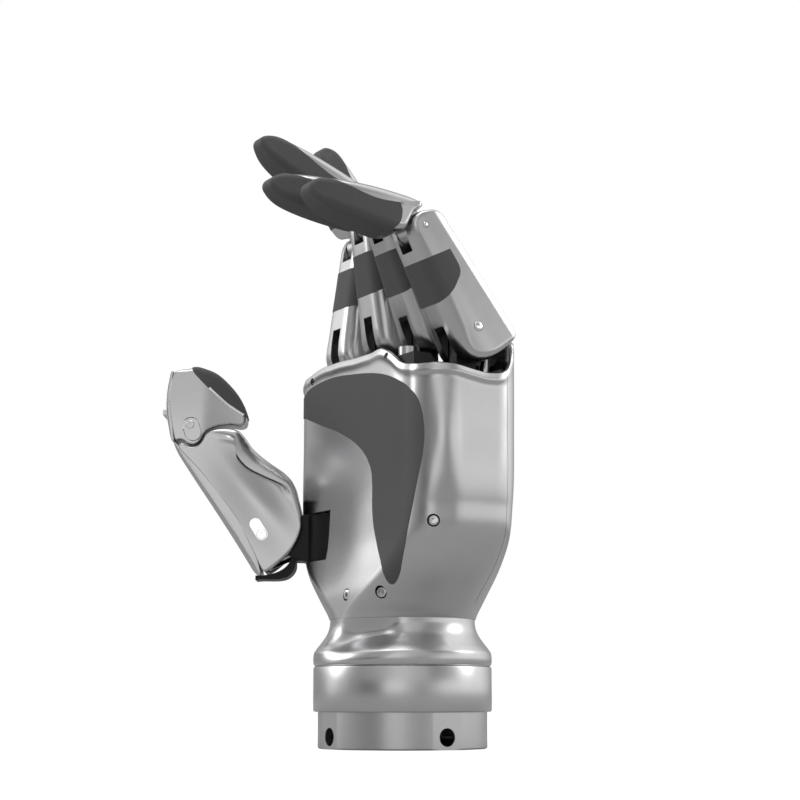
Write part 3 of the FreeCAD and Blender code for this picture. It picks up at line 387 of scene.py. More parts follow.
def makeWrist():
    w = wrist
    socket, out, edge, high = w["socket"], w["ring"], w["edge"], w["ringTop"] - w["seam"]
    ring = turned("wristRing", [(socket, 0.3), (socket + 0.3, 0), (out - edge, 0), (out, edge), (out, high),
                                (socket, high)])
    half = w["flat"] / 2
    depth = math.sqrt(out ** 2 - half ** 2)
    for k in range(4):
        slab = block("tool", [(depth, -half), (depth + 4, -half), (depth + 4, half), (depth, half)],
                     "z", -1, 14)
        carve(ring, moved(slab, 90 * k, axis="z"))
        hole = barOf("tool", (0, w["holeHeight"]), w["hole"], "x", 15, 32)
        carve(ring, moved(hole, 90 * k, axis="z"))
    finished(ring, metal, "palm", "satin_metal", "wrist_ring")
    r, low, high = w["collar"], w["ringTop"], w["collarTop"]
    collar = turned("wristCollar", [(socket, low), (r - 0.6, low), (r - 0.15, low + 0.18), (r, low + 0.6),
                                    (r, high - 0.55), (r - 0.18, high - 0.22), (r - 0.5, high - 0.04),
                                    (socket, high - 0.04)], sides=200)
    finished(collar, metal, "palm", "satin_metal", "wrist_collar")


# The neck is turned, then pressed in on the palm's side: the radius drops by a tilted oval dent.
neckTable = [(25.6, 27.9), (26.1, 28.35), (26.8, 28.5), (28.9, 28.5), (29.8, 28.35), (31.0, 27.6),
             (33.2, 25.9), (36.0, 24.1), (38.4, 23.35), (40.4, 23.2)]
neck = {"low": 25.62, "top": 40.35, "roof": 37.4, "hole": 8.0, "inside": 19.0}
scoop = {"turn": -62.0, "height": 34.4, "wide": 24.0, "tall": 4.3, "depth": 3.2, "tilt": 0.055,
         "lipWide": 1.2, "lipBelow": 6.2, "lipTall": 2.2, "lipHigh": 0.25}


def makeNeck():
    n, s = neck, scoop
    sides, rows = 240, 60
    turn = np.linspace(0, 2 * np.pi, sides, endpoint=False)[None, :]
    z = np.linspace(n["low"], n["top"], rows)[:, None]
    radius = smoothTable(z, neckTable) + 0 * turn
    off = (np.degrees(turn) - s["turn"] + 180) % 360 - 180
    rise = z - s["height"] - s["tilt"] * off
    dent = np.exp(-(off / s["wide"]) ** 4 - (rise / s["tall"]) ** 2)
    lip = np.exp(-(off / (s["wide"] * s["lipWide"])) ** 4 - ((rise + s["lipBelow"]) / s["lipTall"]) ** 2)
    radius = radius - s["depth"] * dent + s["lipHigh"] * lip
    outer = np.stack([radius * np.cos(turn), radius * np.sin(turn), z + 0 * turn], -1)
    inner = [np.stack([r * np.cos(turn[0]), r * np.sin(turn[0]), np.full(sides, h)], -1)
             for r, h in ((n["hole"], n["top"]), (n["hole"], n["roof"]), (n["inside"], n["roof"]),
                          (n["inside"], n["low"]))]
    shell = skinOf("wristNeck", np.concatenate([outer, np.array(inner), outer[:1]]), closeEnds=False)
    finished(shell, metal, "palm", "satin_metal", "wrist_neck")


makeWrist()
makeNeck()
say("wrist")


# Palm: the shell's lower end and wall, its split from the back cover with the seam there, the lip that
# rolls at the rim, the notch round the thumb's hub, and the screws' holes
palm = {"bottom": 40.4, "wall": 1.5, "split": 12.0, "seam": (-0.13, 0.03), "lip": 0.45, "notchX": -15.2,
        "notchY": 3.6, "notchLow": 60.1, "notchHigh": 76.5, "screwHole": 1.95}
rimHoles = ((19.8, 122.0, 1.05), (-29.5, 121.4, 1.2))  # x, z and radius of the small holes under the rim
# Rows of the form: height, half width, front, back, corner radius
palmRows = np.array([(40.4, 23.2, -23.2, 23.2, 23.2), (47.16, 28.69, -22.75, 22.29, 19.66),
                     (55.02, 36.41, -21.02, 20.39, 16.0), (63.2, 42.02, -19.28, 19.29, 13.93),
                     (75.05, 43.69, -18.38, 19.21, 12.46), (99.55, 44.0, -17.8, 19.4, 11.49),
                     (124.9, 44.0, -17.6, 19.4, 11.0), (130.0, 44.0, -17.6, 19.4, 11.0)])
# Rim height by direction seen from above, in degrees from +X
rimTable = [(-202, 127.3), (-196, 123.5), (-190, 119.2), (-184, 118.1), (-172, 118.1), (-163, 119.4),
            (-156, 121.4), (-151, 122.8), (-145, 124.2), (-130, 124.7), (-93, 124.2), (-64, 124.1),
            (-46, 123.9), (-39, 121.4), (-34, 118.3), (-28, 116.6), (-17, 116.2), (-10, 115.9),
            (-2, 114.9), (6, 114.3), (13, 115.3), (19, 119.2), (23.5, 125.2), (28, 127.1), (90, 127.3),
            (152, 127.3), (158, 127.3), (164, 123.5), (170, 119.2), (176, 118.1), (188, 118.1)]
# Push of the ulnar front corner in and out by height, which makes its reflected stripe wander
stripeTable = [(40, 0.0), (60, -0.15), (73, -0.55), (84, 0.05), (95, 0.75), (108, 0.3), (117, -0.2),
               (130, -0.2)]
# Flute and fullness of the palm's front: centres, widths, depth and height in mm
frontFlute = {"x": 29.5, "wide": 4.0, "deep": 0.5, "from": 66, "over": 22}
frontSwell = {"x": 5, "z": 66, "wide": 13, "tall": 17, "high": 0.8}


# Half width, half depth, middle and corner radius of the section at each height
def palmSizes(z):
    halfX, front, back, corner = (smoothTable(z, palmRows[:, (0, k)]) for k in (1, 2, 3, 4))
    halfY = (back - front) / 2
    return halfX, halfY, (front + back) / 2, np.minimum(corner, np.minimum(halfX, halfY) * 0.97)


# The section is a rectangle with round corners; u runs once round it, with fixed shares for arcs and sides.
def palmSection(z, u, inset):
    halfX, halfY, centre, corner = palmSizes(z)
    halfX, halfY, corner = halfX - inset, halfY - inset, corner - inset
    part = (u * 8) % 8
    which = np.floor(part).astype(int)
    t = part - which
    quarter = which // 2
    signX = np.where((quarter == 0) | (quarter == 3), 1.0, -1.0)
    signY = np.where(quarter < 2, 1.0, -1.0)
    angle = (quarter + t) * np.pi / 2
    arcX = signX * (halfX - corner) + corner * np.cos(angle)
    arcY = signY * (halfY - corner) + corner * np.sin(angle)
    endAngle = (quarter + 1) * np.pi / 2
    x0 = signX * (halfX - corner) + corner * np.cos(endAngle)
    y0 = signY * (halfY - corner) + corner * np.sin(endAngle)
    after = (quarter + 1) % 4
    nextX = np.where((after == 0) | (after == 3), 1.0, -1.0)
    nextY = np.where(after < 2, 1.0, -1.0)
    x1 = nextX * (halfX - corner) + corner * np.cos(endAngle)
    y1 = nextY * (halfY - corner) + corner * np.sin(endAngle)
    onArc = which % 2 == 0
    return np.where(onArc, arcX, x0 + (x1 - x0) * t), centre + np.where(onArc, arcY, y0 + (y1 - y0) * t)


# Hand-finished hollows, in mm along the surface's outward way: the wandering ulnar corner, a shallow flute
# beside it that deepens upwards, and a soft fullness down the middle of the palm's front.
def palmShaped(x, y, z, u):
    f, s = frontFlute, frontSwell
    turn = ((u * 8) % 8 - 6) * 90.0
    corner = smoothTable(z, stripeTable) * np.exp(-((turn - 68) / 17) ** 2)
    away = np.radians(turn)
    front = np.clip(-y / 6, 0, 1)
    deeper = np.clip((z - f["from"]) / f["over"], 0, 1)
    flute = -f["deep"] * np.exp(-((x - f["x"]) / f["wide"]) ** 2) * deeper * front
    swell = s["high"] * np.exp(-((x - s["x"]) / s["wide"]) ** 2 - ((z - s["z"]) / s["tall"]) ** 2) * front
    return x + corner * np.sin(away), y - corner * np.cos(away) - flute - swell


# The section carried up from the neck to a rim whose height varies round it, over a half-round lip and
# down again on the inside, one wall further in.
def palmSkin():
    cols, rows = 320, 120
    u = (np.arange(cols) / cols)[None, :]
    x, y = palmSection(np.full((1, cols), 120.0), u, 0.0)
    turn = np.degrees(np.arctan2(y - 0.9, x))
    rim = smoothTable(turn, rimTable)
    v = np.linspace(0, 1, rows)[:, None] ** 0.9  # rows lie closer towards the rim
    z = palm["bottom"] + (rim - palm["bottom"]) * v
    # The wall rolls out just under the rim, and less towards the back
    roll = palm["lip"] * np.exp(-((rim - z - 1.5) / 1.2) ** 2) * np.clip((16 - y) / 8, 0.15, 1)
    x, y = palmSection(z, u, -roll)
    x, y = palmShaped(x + 0 * z, y + 0 * z, z, u)
    outer = np.stack([x, y, z], -1)
    wall = palm["wall"]
    lip = []
    for a in np.linspace(0, np.pi, 7)[1:]:
        lx, ly = palmSection(rim, u, wall / 2 * (1 - math.cos(a)) - 0.1)
        lx, ly = palmShaped(lx, ly, rim, u)
        lip.append(np.stack([lx, ly, rim + wall * 0.4 * math.sin(a)], -1)[0])
    inner = []
    for share in np.linspace(1, 0, 24):
        iz = palm["bottom"] + wall + (rim - palm["bottom"] - wall) * share
        ix, iy = palmSection(iz, u, wall)
        inner.append(np.stack([ix, iy, iz], -1)[0])
    grid = np.concatenate([outer, np.array(lip), np.array(inner)])
    return skinOf("palmShell", grid)


# Head centre on the surface, and the way in as seen from above, in degrees from the palm's front
palmScrews = [((40.32, -13.41, 68.4), 50.0), ((3.86, -22.89, 47.7), 9.5), ((19.74, -19.54, 47.8), 38.0)]
# Half profile of a head with its round shoulder, and of its six-sided socket: radius, depth
screwHead = [(0.02, 4.0), (0.9, 4.0), (1.58, 3.6), (1.62, 0.35), (1.45, 0.08), (1.2, 0.0), (0.02, 0.0)]
screwSocket = [(0.02, -1), (0.82, -1), (0.82, 1.3), (0.02, 1.3)]


# A piece drawn round the origin with its axis along Y, turned and set where a screw sits.
def screwPlaced(piece, where, degrees):
    return moved(piece, degrees, where, axis="z")


def makePalm():
    p = palm
    shell = palmSkin()
    notch = [(p["notchX"], p["notchLow"]), (p["notchX"], p["notchHigh"]), (-60, p["notchHigh"]),
             (-60, p["notchLow"])]
    carve(shell, block("tool", notch, "y", -60, p["notchY"]))
    low, high = p["split"] + p["seam"][0], p["split"] + p["seam"][1]
    carve(shell, block("tool", [(-60, low), (60, low), (60, high), (-60, high)], "z", 45, 140))
    for where, degrees in palmScrews:
        carve(shell, screwPlaced(barOf("tool", (0, 0), p["screwHole"], "y", -4, 6), where, degrees))
    for x, z, radius in rimHoles:
        carve(shell, barOf("tool", (x, z), radius, "y", -24, -12))
    finished(shell, metal, "palm", "satin_metal", "palm_shell", "back_cover")


def makeScrews():
    heads = []
    for where, degrees in palmScrews:
        head = turned("head", screwHead, sides=48)
        carve(head, turned("tool", screwSocket, sides=6))
        heads.append(screwPlaced(faceOut(relaid(head, alongY)), where, degrees))
    finished(joined("palmScrews", heads), steel, "palm", "steel", "palm_screws")


makePalm()
makeScrews()
say("palm shell")


# The palm's pad is the palm's own front, grown by a hair and cut to a comma shape.
palmPad = {"low": 45, "high": 121, "proud": 0.22, "back": -9.5}
padTop = [(-52, 113.5), (-36.7, 117.0), (-31.6, 119.0), (-24.5, 120.1), (-14.2, 120.5), (-1.9, 119.5),
          (10.0, 118.0), (18.4, 116.2), (25.5, 113.6), (32.6, 109.9), (36.4, 106.8), (38.3, 102.2),
          (39.1, 95.0), (38.6, 87.9)]
padTail = [(38.6, 87.9), (36.9, 80.4), (35.1, 73.0), (33.5, 66.6), (32.0, 60.6), (29.7, 55.3),
           (27.3, 52.0), (24.9, 50.0), (23.9, 50.3), (23.5, 52.6)]
padBack = [(23.5, 52.6), (22.2, 56.2), (18.2, 61.6), (14.8, 68.1), (13.1, 75.1), (12.2, 82.5),
           (11.0, 86.9), (7.6, 91.5), (2.0, 95.7), (-4.6, 99.0), (-12.6, 102.2), (-21.8, 105.1),
           (-30.1, 107.9), (-36.0, 109.6), (-52, 111.5)]


def makePalmPad():
    cols, rows = 320, 90
    u = (np.arange(cols) / cols)[None, :]
    z = np.linspace(palmPad["low"], palmPad["high"], rows)[:, None]
    x, y = palmSection(z, u, -palmPad["proud"])
    x, y = palmShaped(x + 0 * z, y + 0 * z, z, u)
    body = skinOf("palmPad", np.stack([x, y, z + 0 * x], -1))
    outline = np.vstack([curveThrough(padTop, 6, False), curveThrough(padTail, 6, False)[1:],
                         curveThrough(padBack, 6, False)[1:]])
    carve(body, block("tool", outline, "y", -60, palmPad["back"]), "INTERSECT")
    finished(body, rubber, "palm", "grip_rubber", "palm_grip_pad")


makePalmPad()
say("palm pad")


# Fingers: place in the row (in pitches) and the knuckle's y and z, how far link and fingertip lean towards
# the palm at rest in degrees, and the fingertip's length
fingers = {
    "little": {"row": 1.5, "y": 2.8, "z": 129.8, "knuckle": 31.0, "tip": 85.0, "distal": 39.0},
    "ring": {"row": 0.5, "y": 2.4, "z": 136.4, "knuckle": 25.0, "tip": 88.0, "distal": 44.0},
    "middle": {"row": -0.5, "y": 1.2, "z": 138.3, "knuckle": 12.0, "tip": 67.0, "distal": 48.5},
    "index": {"row": -1.5, "y": 0.2, "z": 135.9, "knuckle": -4.0, "tip": 34.0, "distal": 37.0},
}
pitch, linkLength = 21.45, 35.5
# Main link: half width at the knuckle and how much less at the joint, where and how fast the cheek leans
# away towards the front, the bevel beside the back edge, half widths of the slots, and holes and band
link = {"half": 9.3, "taper": 1.5, "leanFrom": 3, "lean": 0.017, "bevel": 0.24, "bevelAt": 8.9,
        "bevelTurn": 0.105, "rodSlot": 2.6, "tipSlot": 3.0, "pinHole": 1.58, "jointHole": 1.0,
        "proud": 0.12}
# Side of the main link: y, z, edge radius. The back edge is crisp, the front is nearly round.
linkSide = [(12.1, -6.6, 1.0), (11.0, -9.0, 1.3), (6.5, -10.3, 1.9), (0, -10.9, 2.4), (-4.9, -9.3, 2.8),
            (-7.5, -5.6, 3.2), (-7.9, -1, 3.9), (-7.6, 4, 4.6), (-6.6, 18, 4.6), (-5.5, 31.5, 3.6),
            (-4.7, 35.6, 2.6), (-2.9, 38.7, 1.9), (0, 39.9, 1.5), (3.4, 39.3, 1.2), (6.6, 37.8, 1.0),
            (8.2, 35.2, 0.9), (8.6, 31, 0.9), (10.1, 15, 0.9), (11.6, 0, 0.9)]
bandSide = [(-14, 26.9), (3.8, 25.4), (3.7, 18.5), (0.5, 15.3), (-4, 12.9), (-14, 10.5)]
cheekRings = tuple(np.linspace(0.04, 0.98, 17))


# The cheek leans away towards the front, a little more with each millimetre, and has a flat bevel
# 3 mm wide beside the back edge.
def linkHalf(y, z):
    front = link["lean"] * np.clip(link["leanFrom"] - y, 0, 9) ** 2
    bevel = link["bevel"] * np.clip(y - (link["bevelAt"] - link["bevelTurn"] * z), 0, 4)
    return link["half"] - link["taper"] * np.clip(z, -13, 42) / linkLength - front - bevel


# Where a finger's knuckle pin lies
def knuckleAt(at):
    return pitch * at["row"], at["y"], at["z"]


def makeLink(name, at):
    outline = curveThrough(linkSide, 5)
    shell = pillow(name + "Link", outline, linkHalf, cheekRings)
    rodSlot = [(-30, -38), (30, -38), (30, 2.5), (0, 5.6), (-30, 2.5)]
    tipSlot = [(-7, 29.9), (5.6, 29.9), (5.6, 60), (-7, 60)]
    carve(shell, block("tool", rodSlot, "x", -link["rodSlot"], link["rodSlot"]))
    carve(shell, block("tool", tipSlot, "x", -link["tipSlot"], link["tipSlot"]))
    carve(shell, barOf("tool", (0, 0), link["pinHole"], "x", -30, 30))
    carve(shell, barOf("tool", (0, linkLength), link["jointHole"], "x", -30, 30))
    band = pillow(name + "Band", outline, linkHalf, cheekRings, grow=link["proud"])
    region = np.vstack([curveThrough(bandSide[1:], 6, False), [bandSide[0]]])
    carve(band, block("tool", region, "x", -20, 20), "INTERSECT")
    body = name + "_proximal"
    place = at["knuckle"], knuckleAt(at)
    finished(moved(shell, *place), metal, body, "satin_metal", name + "_proximal_shell")
    finished(moved(band, *place), rubber, body, "grip_rubber", name + "_grip_band")


# Fingertip: the length its outline is drawn for, its eye between the link's cheeks, and the pad
tip = {"length": 39.0, "eye": 4.4, "eyeHalf": 2.7, "proud": 0.18}
tipHalf = [(-2, 7.0), (6, 7.2), (18, 7.3), (28, 6.6), (35, 5.0), (38, 3.6), (39, 3.4)]  # height, half width


# Side of a fingertip that is k times as long as the drawn one: y, z, edge radius.
def tipOutline(k):
    return curveThrough([(6.9, 0.7, 2.2), (8.2, 4.2, 2.6), (8.7, 12.8, 3.0), (8.7, 21.8 * k, 3.0),
                         (7.9, 33.0 * k, 2.4), (6.6, 37.2 * k, 1.9), (4.4, 38.8 * k, 1.9),
                         (1.9, 37.6 * k, 1.9), (-0.8, 32.6 * k, 2.4), (-2.9, 22 * k, 3.0),
                         (-4.0, 12.8, 3.0), (-3.6, 8.6, 2.4), (-2.2, 6.2, 1.8), (0.4, 5.2, 1.4),
                         (3.2, 4.1, 1.2), (4.9, 2.0, 1.4)], 6)


def makeTip(name, at):
    k = at["distal"] / tip["length"]

    def half(y, z):
        return smoothTable(z / k, tipHalf)

    shell = pillow(name + "TipShell", tipOutline(k), half, cheekRings)
    across = "x", -tip["eyeHalf"], tip["eyeHalf"]
    eye = barOf("tool", (0, 0), tip["eye"], *across)
    heel = block("tool", [(-0.5, -1.0), (3.6, -1.0), (7.8, 3.0), (7.8, 8.0), (-1.0, 8.0)], *across)
    shell = joined(name + "Fingertip", [shell, eye, heel])
    pad = pillow(name + "TipPad", tipOutline(k), half, cheekRings, grow=tip["proud"])
    seam = curveThrough([(4.9, 9.6), (4.4, 16.9 * k), (5.0, 22 * k), (6.0, 26.5 * k), (7.2, 31.4 * k),
                         (8.6, at["distal"] + 3)], 6, False)
    root = curveThrough([(-14, 15.0), (-4.5, 11.0), (-1.0, 8.9), (2.5, 8.5), (4.6, 9.3)], 5, False)
    region = np.vstack([seam, [(-14, at["distal"] + 3)], root])
    carve(pad, block("tool", region, "x", -20, 20), "INTERSECT")
    lean = math.radians(at["knuckle"])
    x, y, z = knuckleAt(at)
    body = name + "_fingertip"
    place = at["tip"], (x, y - linkLength * math.sin(lean), z + linkLength * math.cos(lean))
    finished(moved(shell, *place), metal, body, "satin_metal", name + "_distal_shell")
    finished(moved(pad, *place), rubber, body, "grip_rubber", name + "_tip_pad")


pinSizes = {"knuckle": (1.5, 9.15), "joint": (0.9, 7.55)}  # radius and half length


# A pin across a finger, along x, with a shallow dome at each end.
def domedPin(name, radius, half, dome=0.35):
    rise = np.linspace(0, dome, 6)
    wide = np.maximum(radius * np.sqrt(1 - (rise / dome) ** 2), 0.02)
    cap = np.stack([wide, half + rise], 1)
    pin = turned(name, np.vstack([cap[::-1] * (1, -1), cap]), sides=40)
    return faceOut(relaid(pin, alongX))


def makePins():
    pins = []
    for name, at in fingers.items():
        pins.append(moved(domedPin("pin", *pinSizes["knuckle"]), 0, knuckleAt(at)))
        upper = moved(domedPin(name + "JointPin", *pinSizes["joint"]), 0, (0, 0, linkLength))
        upper = moved(upper, at["knuckle"], knuckleAt(at))
        finished(upper, polished, name + "_proximal", "steel", name + "_joint_pin")
    finished(joined("knucklePins", pins), polished, "palm", "steel", "knuckle_pins")


for name, at in fingers.items():
    makeLink(name, at)
    makeTip(name, at)
makePins()
say("fingers")


# The thumb is drawn in its own bending plane (y, z), then turned about its hub.
thumb = {"hub": (-31.0, -7.5, 0.0), "turn": -31.0, "pivot": (-26.4, 71.5), "half": 8.5}
# Main link from the side: y, z, edge radius, flute depth
bodySide = [(-51.7, 97.4, 0.3, 0), (-52.7, 99.0, 0.4, 0), (-52.2, 100.2, 0.5, 0), (-51.0, 100.0, 0.5, 0),
            (-49.7, 99.2, 0.5, 0), (-48.1, 98.9, 0.5, 0), (-46.3, 99.5, 0.5, 0), (-44.9, 101.1, 0.5, 0),
            (-43.9, 103.0, 0.5, 0), (-42.6, 104.1, 0.6, 0), (-40.3, 104.9, 0.9, 0.1),
            (-37.5, 105.2, 1.4, 0.3), (-34.8, 105.1, 1.9, 0.5), (-32.6, 104.4, 2.4, 0.6),
            (-31.1, 102.9, 3.6, 0.7), (-29.9, 101.3, 4.6, 0.8), (-28.3, 99.0, 5.6, 0.9),
            (-25.5, 96.4, 5.8, 0.95), (-21.8, 93.6, 5.0, 0.9), (-17.3, 90.4, 4.0, 0.85),
            (-14.2, 86.8, 2.6, 0.5), (-12.8, 82.0, 1.6, 0), (-11.5, 76.5, 1.2, 0), (-11.0, 72.4, 1.0, 0),
            (-11.7, 69.2, 1.0, 0), (-13.2, 66.0, 1.0, 0), (-15.4, 63.1, 1.0, 0), (-18.7, 59.9, 1.0, 0),
            (-22.1, 57.5, 0.8, 0), (-23.9, 57.4, 0.4, 0), (-26.0, 61.3, 0.3, 0), (-28.7, 66.7, 0.3, 0),
            (-32.8, 74.1, 0.3, 0), (-38.3, 81.6, 0.3, 0), (-44.9, 90.2, 0.3, 0)]
# Back plate of the main link, between its crease with the cheek and the back edge
backSide = [(-51.2, 97.5, 0.3), (-44.4, 90.5, 0.3), (-37.8, 81.9, 0.3), (-32.3, 74.4, 0.3),
            (-28.2, 67.0, 0.3), (-25.9, 61.6, 0.3), (-24.7, 57.0, 0.3), (-25.2, 55.8, 0.6),
            (-26.9, 57.0, 1.4), (-29.1, 60.4, 1.6), (-33.2, 66.9, 1.6), (-39.8, 76.9, 1.6),
            (-46.5, 86.8, 1.4), (-51.2, 93.9, 1.1), (-53.3, 97.4, 0.9), (-54.4, 100.3, 0.25),
            (-53.0, 99.6, 0.2)]
# Thumb's end from the side, and its back plate
endSide = [(-54.1, 101.6, 0.4), (-55.2, 106.6, 0.3), (-56.0, 112.0, 0.3), (-56.1, 117.5, 0.3),
           (-55.5, 122.2, 0.4), (-54.8, 124.8, 0.8), (-52.9, 125.6, 1.3), (-50.0, 126.0, 1.6),
           (-47.9, 126.6, 2.0), (-45.4, 126.2, 2.4), (-40.6, 124.3, 2.8), (-36.2, 120.4, 2.8),
           (-32.8, 116.0, 2.6), (-30.9, 111.7, 2.2), (-30.4, 109.2, 1.6), (-31.0, 107.2, 1.0),
           (-32.7, 106.6, 0.7), (-35.4, 106.9, 0.7), (-38.7, 106.6, 0.6), (-41.4, 105.8, 0.5),
           (-43.2, 104.8, 0.5), (-44.5, 103.3, 0.5), (-45.5, 101.3, 0.5), (-46.8, 100.1, 0.5),
           (-48.3, 99.7, 0.5), (-50.0, 100.2, 0.5), (-51.2, 101.2, 0.4), (-52.6, 101.5, 0.4)]
endBack = [(-54.4, 101.4, 0.2), (-55.4, 106.6, 0.3), (-56.2, 112.0, 0.3), (-56.4, 117.5, 0.3),
           (-55.8, 122.2, 0.3), (-55.2, 124.9, 0.25), (-56.2, 124.7, 0.35), (-57.0, 122.0, 0.8),
           (-57.5, 117.5, 0.8), (-57.4, 112.0, 0.8), (-56.5, 106.4, 0.6), (-55.3, 101.4, 0.25)]
# Lower edge of the pad, and the strip along it painted bright as the metal edge's highlight
padLine = [(-49.8, 129.0), (-48.5, 125.0), (-46.1, 122.1), (-43.4, 119.5), (-39.3, 116.0), (-35.5, 112.9),
           (-30.9, 109.9), (-26.6, 107.6)]
padHighlightStrip = [(-43.3, 118.9), (-39.8, 115.7), (-36.1, 112.6), (-31.6, 109.8)]
# The inlay over the pivot and the cover over the end's joint: the two centres of each obround, radius and
# floor of its recess, its own radius, and from where to where it and its screw stand out from the middle
inlay = {"slot": ((-26.7, 73.0), (-24.5, 69.6)), "recess": 2.05, "floor": 7.1, "radius": 1.98,
         "stands": (7.05, 7.45), "screwAt": (-24.5, 69.6), "screw": (1.75, 7.3, 7.75)}
cover = {"slot": ((-48.7, 106.1), (-48.0, 103.7)), "recess": 2.95, "floor": 7.0, "radius": 2.62,
         "stands": (6.9, 8.5), "screwAt": (-49.0, 106.5), "screw": (1.4, 8.3, 8.75)}
recessTop = 12
# Hollow in the main link's cheek, and a point, the slope and its cosine of the straight back edge
linkHollow = {"deep": 1.5, "fromBack": 12, "wide": 6.5, "z": 81, "tall": 15}
backEdge = {"y": -53, "z": 99, "slope": 0.6235, "cosine": 0.85}
# Cheek of the end: its ridge, the fall past it and how that eases, and the lean above a height
endForm = {"ridge": -44.0, "fall": 0.40, "ease": 0.010, "lean": 0.0035, "leanFrom": 104}
thumbRings = tuple(np.linspace(0.03, 0.88, 22)) + (0.90, 0.92, 0.94, 0.955, 0.97, 0.985)


# A piece from the bending plane, turned and moved to where the thumb stands
def thumbPlaced(piece):
    return moved(piece, thumb["turn"], thumb["hub"], axis="z")


# The main link's cheek: a shallow hollow along its middle, nearer the back than the palm side. Its place
# across the link is the distance from the straight back edge.
def bodyCheek(y, z):
    h, b = linkHollow, backEdge
    fromBack = (y - b["y"] - (b["z"] - z) * b["slope"]) * b["cosine"]
    across, along = (fromBack - h["fromBack"]) / h["wide"], (z - h["z"]) / h["tall"]
    return thumb["half"] - h["deep"] * np.exp(-across ** 2 - along ** 2)


# Half widths of the two back plates and of the pad's painted highlight strip
def bodyBackHalf(y, z):
    return np.full_like(z, 8.25)


# The end's cheek falls away past a soft upright ridge, and leans back with the square of the height.
def endCheek(y, z):
    e = endForm
    past = np.log1p(np.exp(np.clip(y - e["ridge"], -20, 20)))
    lean = e["lean"] * np.clip(z - e["leanFrom"], 0, 30) ** 2
    return thumb["half"] - e["fall"] * past + e["ease"] * past ** 2 - lean


def endBackHalf(y, z):
    return 8.1 - 0.0030 * np.clip(z - endForm["leanFrom"], 0, 30) ** 2


# The painted highlight strip stands 0.22 mm proud of the end's cheek.
def highlightStripHalf(y, z):
    return endCheek(y, z) + 0.22


# Flat-headed screw seen on a cheek: a turned head with a six-sided socket, its axis along x.
def cheekScrew(where, radius, low, high, side):
    head = turned("head", [(0.02, low), (radius, low), (radius, high - 0.15), (radius - 0.15, high),
                           (0.02, high)], sides=40)
    wide, deep = radius * 0.42, high - 0.5
    carve(head, turned("tool", [(0.02, deep), (wide, deep), (wide, high + 1), (0.02, high + 1)], sides=6))
    return faceOut(relaid(head, alongX * (side, 1, 1), (0, *where)))


# An obround on one cheek, between two distances from the thumb's middle.
def onCheek(name, slot, radius, low, high, side):
    return obround(name, *slot, radius, *sorted((side * low, side * high)))


def makeThumbLink():
    shell = pillow("thumbLink", curveThrough(bodySide, 5), bodyCheek, thumbRings)
    inside = [(-38, 82), (-25.6, 60.5), (-24.6, 52), (-5, 52), (-5, 88), (-14.8, 80.0), (-24.5, 88.0),
              (-36, 88)]
    carve(shell, block("tool", inside, "x", -6.9, 6.9))
    for side in (-1, 1):
        carve(shell, onCheek("tool", inlay["slot"], inlay["recess"], inlay["floor"], recessTop, side))
    finished(thumbPlaced(shell), metal, "thumb_link", "satin_metal", "thumb_body_shell")
    plate = pillow("thumbBackPlate", curveThrough(backSide, 5), bodyBackHalf, (0.05, 0.4, 0.8))
    finished(thumbPlaced(plate), metal, "thumb_link", "satin_metal", "thumb_body_shell")
    inlays = []
    for side in (-1, 1):
        inlays.append(onCheek("inlay", inlay["slot"], inlay["radius"], *inlay["stands"], side))
        inlays.append(cheekScrew(inlay["screwAt"], *inlay["screw"], side))
    finished(thumbPlaced(joined("thumbPivotInlay", inlays)), polished, "thumb_link", "steel")
    pin = barOf("thumbPivot", thumb["pivot"], 2.0, "x", -7.0, 7.0)
    finished(thumbPlaced(pin), steel, "thumb_base", "steel", "thumb_pivot_pin")


def makeThumbEnd():
    end = pillow("thumbEnd", curveThrough(endSide, 5), endCheek, thumbRings)
    for side in (1, -1):
        carve(end, onCheek("tool", cover["slot"], cover["recess"], cover["floor"], recessTop, side))
    finished(thumbPlaced(end), metal, "thumb_end", "satin_metal", "thumb_tip_shell")
    plate = pillow("thumbEndBackPlate", curveThrough(endBack, 5), endBackHalf, (0.05, 0.5))
    finished(thumbPlaced(plate), metal, "thumb_end", "satin_metal", "thumb_tip_shell")
    covers = []
    for side in (-1, 1):
        covers.append(onCheek("cover", cover["slot"], cover["radius"], *cover["stands"], side))
        covers.append(cheekScrew(cover["screwAt"], *cover["screw"], side))
    clip = [(-58.4, 109.9), (-56.4, 109.9), (-56.4, 111.6), (-58.4, 111.6)]
    covers.append(block("clip", clip, "x", -7.6, 7.6))
    finished(thumbPlaced(joined("thumbJointCovers", covers)), metal, "thumb_end", "satin_metal")
    pad = pillow("thumbPad", curveThrough(endSide, 5), endCheek, thumbRings, grow=0.2)
    region = np.vstack([curveThrough(padLine, 6, False), [(-20, 108), (-20, 132), (-48, 132)]])
    carve(pad, block("tool", region, "x", -20, 20), "INTERSECT")
    finished(thumbPlaced(pad), rubber, "thumb_end", "grip_rubber", "thumb_tip_pad")
    # A polished strip along the pad's edge: a painted highlight where the satin metal's edge catches light.
    bevel = curveThrough(padHighlightStrip, 6, False)
    strip = pillow("thumbPadHighlightStrip", np.vstack([bevel, bevel[::-1] + (0.6, 0.7)]), highlightStripHalf, (0.5,))
    finished(thumbPlaced(strip), polished, "thumb_end", "satin_metal")


makeThumbLink()
makeThumbEnd()
say("thumb")


# Studio: pale paper floor, soft boxes for the metal's reflections, plain lamps, and the photo's angle
floorSize, floorDrop = 6000, 0.2  # mm
paper = {"colour": "#b4b4b4", "glow": 0.85}
sky = {"white": 1.0, "soft": 0.62, "boxes": 1.22, "rowFrom": 0.195, "rowTo": 0.24}
